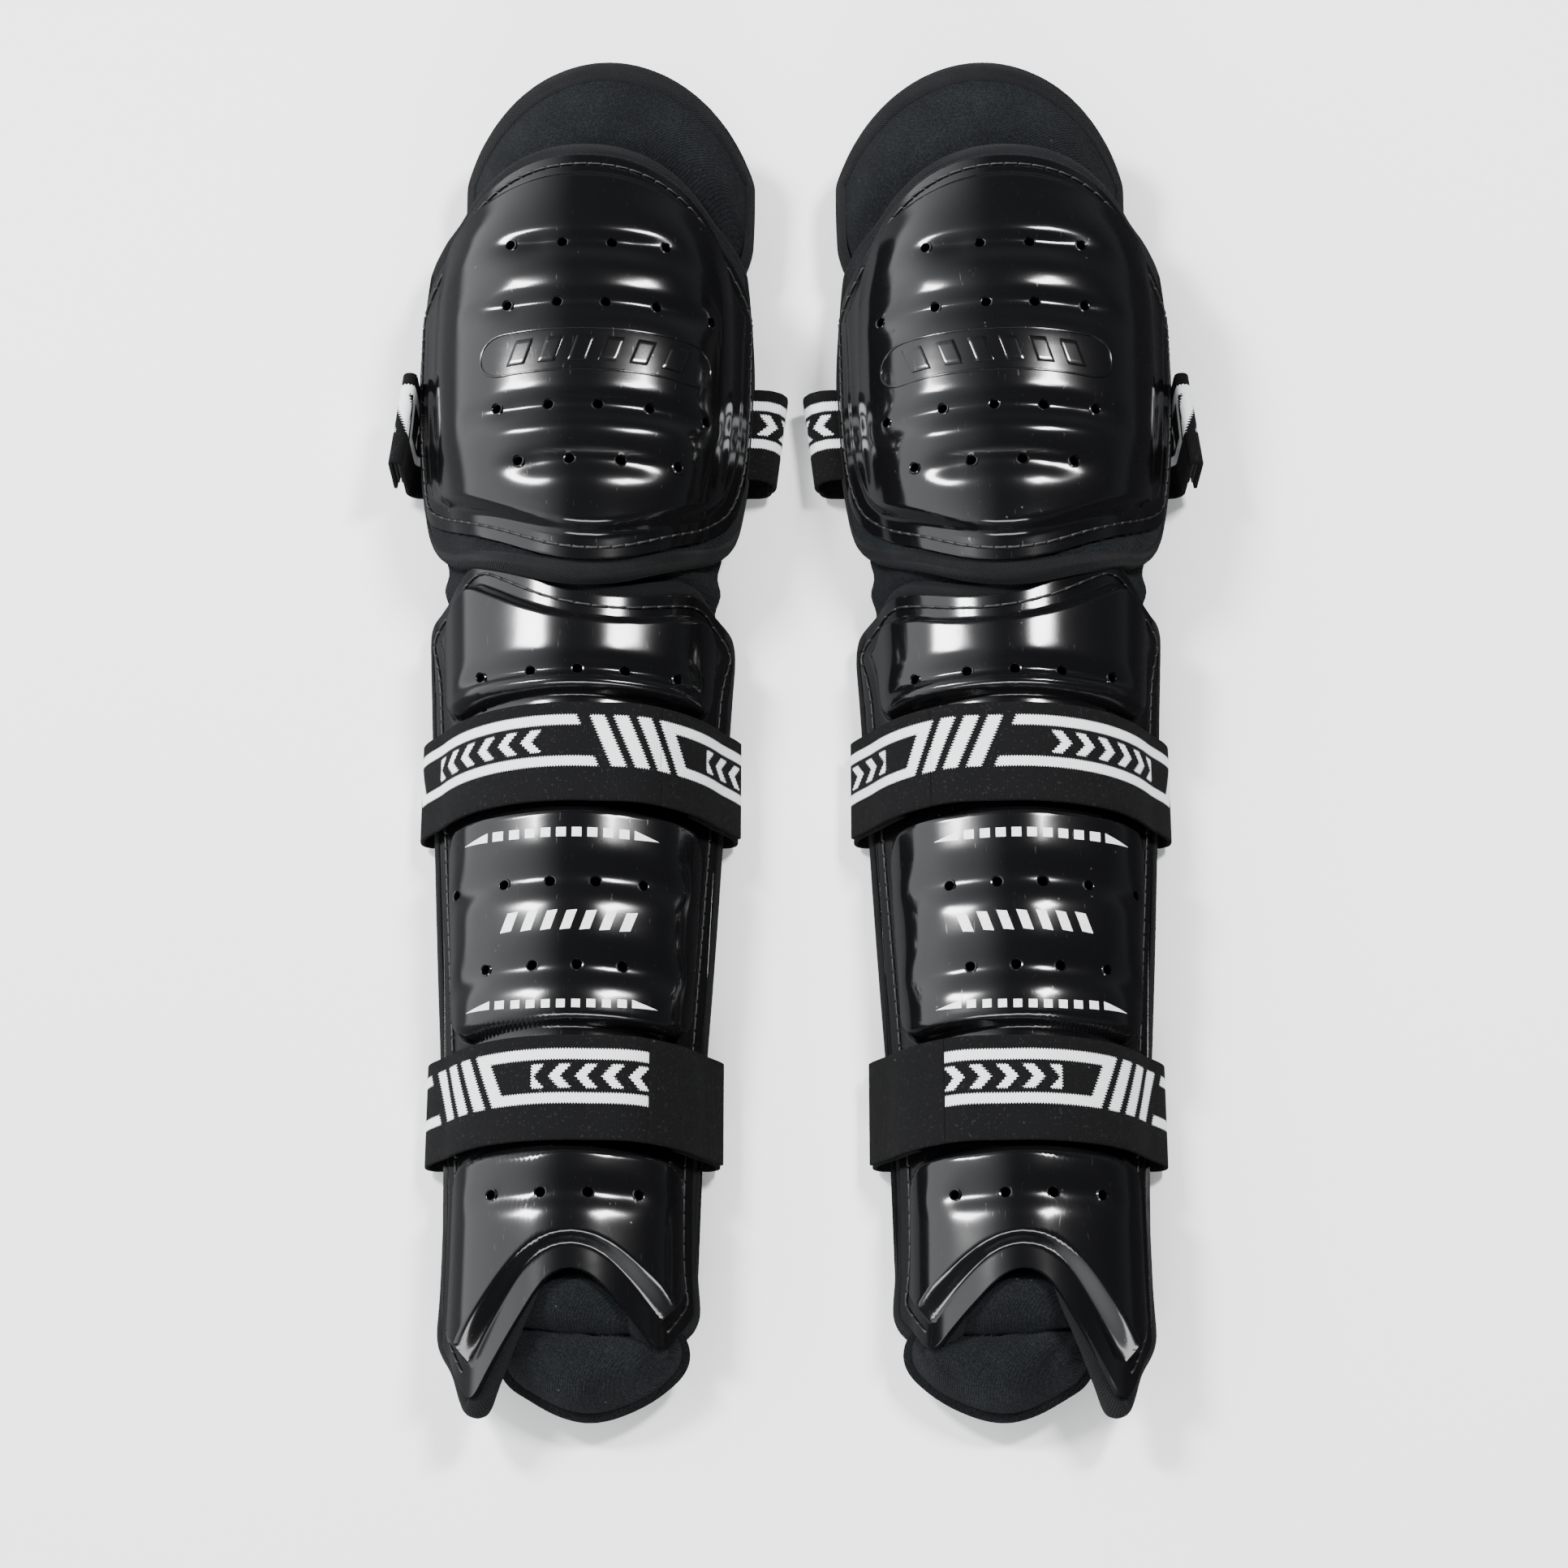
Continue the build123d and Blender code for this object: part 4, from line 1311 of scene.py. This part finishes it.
def build_knee_strap():
    """Elastic band under the back of the knee, standing out beside the shell, with a folded free end."""
    y, width = 137.0, sizes().strap_width * 1000
    inner, outer, low, corner, lean = 73.5, 67.5, 0.9, 5.0, 0.12
    path = [(54.0, 15.6), (59.0, 17.8), (64.0, 18.8), (69.0, 18.2), (73.0, 15.8), (75.0, 12.6), (75.2, 9.2),
            (74.4, 6.6)]
    turns = np.radians(np.linspace(0, 90, 7))
    path += [(inner - corner + corner * math.cos(turn), low + corner - corner * math.sin(turn)) for turn in turns]
    for x in np.linspace(inner - corner, -outer + corner, 40)[1:-1]:
        path.append((x, low + 0.6 * math.sin(math.pi * x / outer) ** 2))
    for turn in turns[::-1]:
        path.append((-outer + corner - corner * math.cos(turn), low + corner - corner * math.sin(turn)))
    path += [(-outer, z) for z in (10, 16, 22, 28)] + [(-outer, 31.0)]
    band = band_piece("left_knee_strap_band", np.array(path), y, width, 40.0, pitch=1.0, lean=lean)
    both_sides(band, "knee_guard", ["knee_strap"], "woven_elastic")
    fold = np.radians(np.linspace(0, 180, 15))
    tab_path = [(-outer - 2.0 + 2.0 * math.cos(turn), 31.6 + 2.0 * math.sin(turn)) for turn in fold]
    tab_path += [(-outer - 4.0, z) for z in (26, 20, 14, 10.0)]
    tab = band_piece("left_knee_tab_end", np.array(tab_path), y, width, pitch=0.8, lean=lean)
    both_sides(tab, "knee_tab", ["knee_tab"], "woven_elastic")
    for name, gap, body, slot, node in (("knee_hooks_tape", 2.75, "knee_tab", "hook_tape", "knee_hooks"),
                                        ("knee_loop_pile", 1.35, "knee_guard", "loop_pile", "knee_loop_patch")):
        strip = np.array([(-outer - gap, 28.5), (-outer - gap, 12)])
        piece = band_piece("left_" + name, strip, y, width - 3, thickness=0.7, lean=lean)
        both_sides(piece, body, [node], slot)


# ---- printed marks on the shin panel ----
def print_polygons():
    """Plan shapes of the white print: rows of squares between two darts, and a plain slanted emblem."""
    shapes = []

    def row(y, left, right, half, count, bend):
        step = (right - left) / (count - 1)
        for i in range(count):
            x = left + i * step
            lift = bend * (x - (left + right) / 2) ** 2
            shapes.append([(x - half, y - half + lift), (x + half, y - half + lift),
                           (x + half, y + half + lift), (x - half, y + half + lift)])
        for sign, x in ((-1, left - step * 0.62), (1, right + step * 0.62)):
            lift = bend * (x - (left + right) / 2) ** 2
            shapes.append([(x, y - half + lift), (x, y + half + lift), (x + sign * 7.8, y - half * 0.9 + lift)])

    row(-38.4, -25.6, 18.6, 1.72, 9, 0.0)
    row(-101.5, -23.6, 18.6, 1.5, 9, 0.0016)
    for i in range(7):
        x = -24.0 + i * 6.9
        shapes.append([(x, -74.6), (x + 3.6, -74.2), (x + 6.0, -67.2), (x + 2.4, -67.6)])
    return shapes


def conforming(name, channel, rise, shapes, lift, thickness, size=6):
    """Thin marks that follow a shell; shapes are plan quadrilaterals."""
    vertices, faces = [], []
    for shape in shapes:
        corners = [Vector(p) for p in shape]
        if len(corners) == 3:
            corners.insert(2, (corners[1] + corners[2]) / 2)
        base = len(vertices)
        for i in range(size + 1):
            for j in range(size + 1):
                s, t = i / size, j / size
                near, far = corners[0] * (1 - s) + corners[1] * s, corners[3] * (1 - s) + corners[2] * s
                point = near * (1 - t) + far * t
                reach = float(radius(channel, point.y)) + 7.0
                across = channel.nominal * math.asin(point.x / reach)
                over = rise_at(rise, across, point.y)
                vertices.append(around(channel, across, point.y, over + lift))
        for i in range(size):
            for j in range(size):
                a = base + i * (size + 1) + j
                faces.append((a, a + size + 1, a + size + 2, a + 1))
    piece = mesh_piece(name, place(vertices), faces)
    even_normals(piece, 0.00001)
    face_outward(piece, (-CENTRE / 1000, piece.data.vertices[0].co.y, 0.0))
    solid(piece, thickness)
    return piece


def build_print():
    outline = shin_outline()

    def rise(across, y):
        return shin_rise(across, y, outline)

    piece = conforming("left_shin_print", SHIN, rise, print_polygons(), 0.07, 0.12)
    shade(piece, 50)
    both_sides(piece, "shin_guard", (), "white_print")


def build_emblem():
    """Raised frame with slanted bars moulded on the knee shell."""
    outline = knee_outline()

    def rise(across, y):
        return knee_rise(across, y, outline)

    def bent(x, y):
        return (x, y - 0.0009 * (x - 5.0) ** 2)

    shapes = []
    half_x, half_y, corner, centre_x, centre_y = 40.0, 8.4, 7.6, 6.0, 142.5
    ring = []
    for quarter, (sx, sy) in enumerate(((1, 1), (-1, 1), (-1, -1), (1, -1))):
        for step in range(7):
            angle = math.radians(90 * quarter + 15 * step)
            ring.append((centre_x + sx * (half_x - corner) + corner * math.cos(angle),
                         centre_y + sy * (half_y - corner) + corner * math.sin(angle)))
    dense = []
    for (x0, y0), (x1, y1) in zip(ring, ring[1:] + ring[:1]):
        steps = max(1, int(math.hypot(x1 - x0, y1 - y0) / 5))
        dense += [(x0 + (x1 - x0) * k / steps, y0 + (y1 - y0) * k / steps) for k in range(steps)]
    outer, inner = grown(dense, 0.45), grown(dense, -0.45)
    for i in range(len(dense)):
        j = (i + 1) % len(dense)
        shapes.append([bent(*outer[i]), bent(*outer[j]), bent(*inner[j]), bent(*inner[i])])
    frame_piece = conforming("left_knee_emblem_frame", KNEE, rise, shapes, 0.42, 0.7, 1)
    bars = []
    for i in range(6):
        x = centre_x - 31.0 + i * 10.8
        bars.append([bent(x, centre_y - 5.0), bent(x + 6.2, centre_y - 5.0),
                     bent(x + 9.4, centre_y + 5.0), bent(x + 3.2, centre_y + 5.0)])
    bar_piece = conforming("left_knee_emblem_bars", KNEE, rise, bars, 0.5, 0.8, 5)
    piece = joined("left_knee_emblem", [frame_piece, bar_piece])
    add_bevel(piece, 0.25)
    apply_modifiers(piece)
    shade(piece, 40)
    both_sides(piece, "knee_guard", (), "moulded_gloss_black")


# ---- stage ----
def area_light(name, place_at, look_at, width, height, power, color=(1, 1, 1)):
    light = bpy.data.lights.new(name, "AREA")
    light.shape = "RECTANGLE"
    light.size, light.size_y = width, height
    light.energy = power
    light.color = color
    lamp = bpy.data.objects.new(name, light)
    bpy.context.scene.collection.objects.link(lamp)
    lamp.location = place_at
    lamp.rotation_euler = (Vector(look_at) - Vector(place_at)).to_track_quat("-Z", "Y").to_euler()
    return lamp


CAMERA_SCALE = 3.37 * 1250.0 / 1932.0      # focal length over sensor width


def build_stage():
    clear_selection()
    bpy.ops.mesh.primitive_plane_add(size=8.0, location=(0, 0, -0.0005))
    floor = bpy.context.active_object
    floor.name = "studio_floor"
    floor.data.materials.append(finished("studio_floor"))
    make_active(floor)
    bpy.ops.object.transform_apply(location=True, rotation=True, scale=True)
    floor.visible_glossy = False      # the shells mirror the dim room, not the pale floor
    world = bpy.data.worlds.new("studio")
    bpy.context.scene.world = world
    world.use_nodes = True
    world.node_tree.nodes.clear()
    w = Wiring(world.node_tree)
    end, sky, where = w.node("ShaderNodeOutputWorld"), w.node("ShaderNodeBackground"), w.node("ShaderNodeTexCoord")
    world.node_tree.links.new(sky.outputs[0], end.inputs[0])
    parts = w.node("ShaderNodeSeparateXYZ")
    w.put(where.outputs["Generated"], parts.inputs[0])
    left = w.minus(1.0, w.step(parts.outputs["X"], -0.85, -0.10))
    above = w.step(parts.outputs["Z"], 0.0, 0.62)
    room = w.mix(above, (0.20, 0.215, 0.235, 1.0), (0.030, 0.034, 0.040, 1.0))
    room = w.mix(left, room, (3.4, 3.5, 3.6, 1.0))
    under = w.mix(left, (0.05, 0.05, 0.055, 1.0), (0.50, 0.51, 0.53, 1.0))
    w.put(w.mix(w.step(parts.outputs["Z"], -0.16, 0.02), under, room), sky.inputs["Color"])
    sky.inputs["Strength"].default_value = 0.9
    target = (0.0, -0.03, 0.03)
    area_light("left_key", (-0.90, 0.50, 1.35), target, 0.24, 0.34, 46)
    area_light("right_key", (0.62, 0.50, 1.45), target, 0.22, 0.34, 40)
    area_light("foot_fill", (0.0, -2.3, 1.3), target, 1.8, 0.8, 70)

    elevation, distance = math.radians(70.0), 1.25
    aim = Vector((-0.0045, -0.0145 + LENGTH_SHIFT / 1000, 0.04))
    view = bpy.data.cameras.new("front_view")
    camera = bpy.data.objects.new("front_view", view)
    bpy.context.scene.collection.objects.link(camera)
    camera.location = aim + Vector((0, -math.cos(elevation), math.sin(elevation))) * distance
    camera.rotation_euler = (aim - camera.location).to_track_quat("-Z", "Y").to_euler()
    view.sensor_width = 36.0
    view.lens = view.sensor_width * CAMERA_SCALE
    view.clip_end = 20.0
    bpy.context.scene.camera = camera


# ---- operators ----
def maker(idname, label, text, work):
    """An operator class for one piece or group of like pieces."""

    def execute(self, context):
        work()
        return {"FINISHED"}

    members = {"bl_idname": idname, "bl_label": label, "bl_options": {"REGISTER", "UNDO"}, "__doc__": text,
               "execute": execute}
    return type("GUARD_OT_" + idname.split(".")[1], (bpy.types.Operator,), members)


def sew_shells():
    build_stitching("knee_stitching", KNEE, knee_outline(), "knee_guard", "knee_seam")

    def outside_arch(across, y):
        return not (y < -178 and abs(across) < 42)

    build_stitching("shin_stitching", SHIN, shin_outline(), "shin_guard", "shin_seam", outside_arch)


def calf_straps():
    build_calf_strap("upper", 8.0)
    build_calf_strap("lower", 62.0)
    build_loop_patches()


MAKERS = [
    maker("guard.knee_shells", "Knee shells", "Moulded knee shells with ribs and vents", build_knee_shell),
    maker("guard.shin_shells", "Shin shells", "Moulded shin shells with three raised panels", build_shin_shell),
    maker("guard.stitching", "Shell stitching", "Lockstitch along the sewing flanges", sew_shells),
    maker("guard.emblem", "Knee emblem", "Raised frame and slanted bars on the knee shells", build_emblem),
    maker("guard.print", "Shin print", "White marks on the middle shin panel", build_print),
    maker("guard.knee_liners", "Knee liners", "Padded knee liners with edge tape", build_knee_liner),
    maker("guard.shin_liners", "Shin liners", "Padded shin liners with edge tape", build_shin_liner),
    maker("guard.gussets", "Knee gussets", "Knitted sleeves between knee and shin liners", build_gusset),
    maker("guard.thigh_flaps", "Thigh flaps", "Padded flaps above the knees", build_thigh_flap),
    maker("guard.thigh_hinges", "Thigh hinges", "Cloth strips from thigh flaps to knee liners", build_thigh_hinge),
    maker("guard.instep_pads", "Instep pads", "Two-cushion pads under the ankle arch", build_instep_pad),
    maker("guard.calf_straps", "Calf straps", "Elastic loops with hook and loop ends", calf_straps),
    maker("guard.knee_straps", "Knee straps", "Elastic bands behind the knees", build_knee_strap),
    maker("guard.stage", "Stage", "Pale floor, studio lights and camera", build_stage),
]


class GUARD_PT_panel(bpy.types.Panel):
    """Lists the guard builders."""

    bl_label = "Guards"
    bl_idname = "GUARD_PT_panel"
    bl_space_type = "VIEW_3D"
    bl_region_type = "UI"
    bl_category = "Guards"

    def draw(self, context):
        for name in GuardSizes.__annotations__:
            self.layout.prop(context.scene.guard_sizes, name)
        for name in GuardLooks.__annotations__:
            self.layout.prop(context.scene.guard_looks, name)
        for made in MAKERS:
            self.layout.operator(made.bl_idname)


CLASSES = [GuardLooks, GuardSizes, *MAKERS, GUARD_PT_panel]


def register():
    for item in CLASSES:
        bpy.utils.register_class(item)
    bpy.types.Scene.guard_looks = PointerProperty(type=GuardLooks)
    bpy.types.Scene.guard_sizes = PointerProperty(type=GuardSizes)


def unregister():
    del bpy.types.Scene.guard_sizes
    del bpy.types.Scene.guard_looks
    for item in reversed(CLASSES):
        bpy.utils.unregister_class(item)


def main():
    register()
    for made in MAKERS:
        group, name = made.bl_idname.split(".")
        getattr(getattr(bpy.ops, group), name)()


if __name__ == "__main__":
    main()
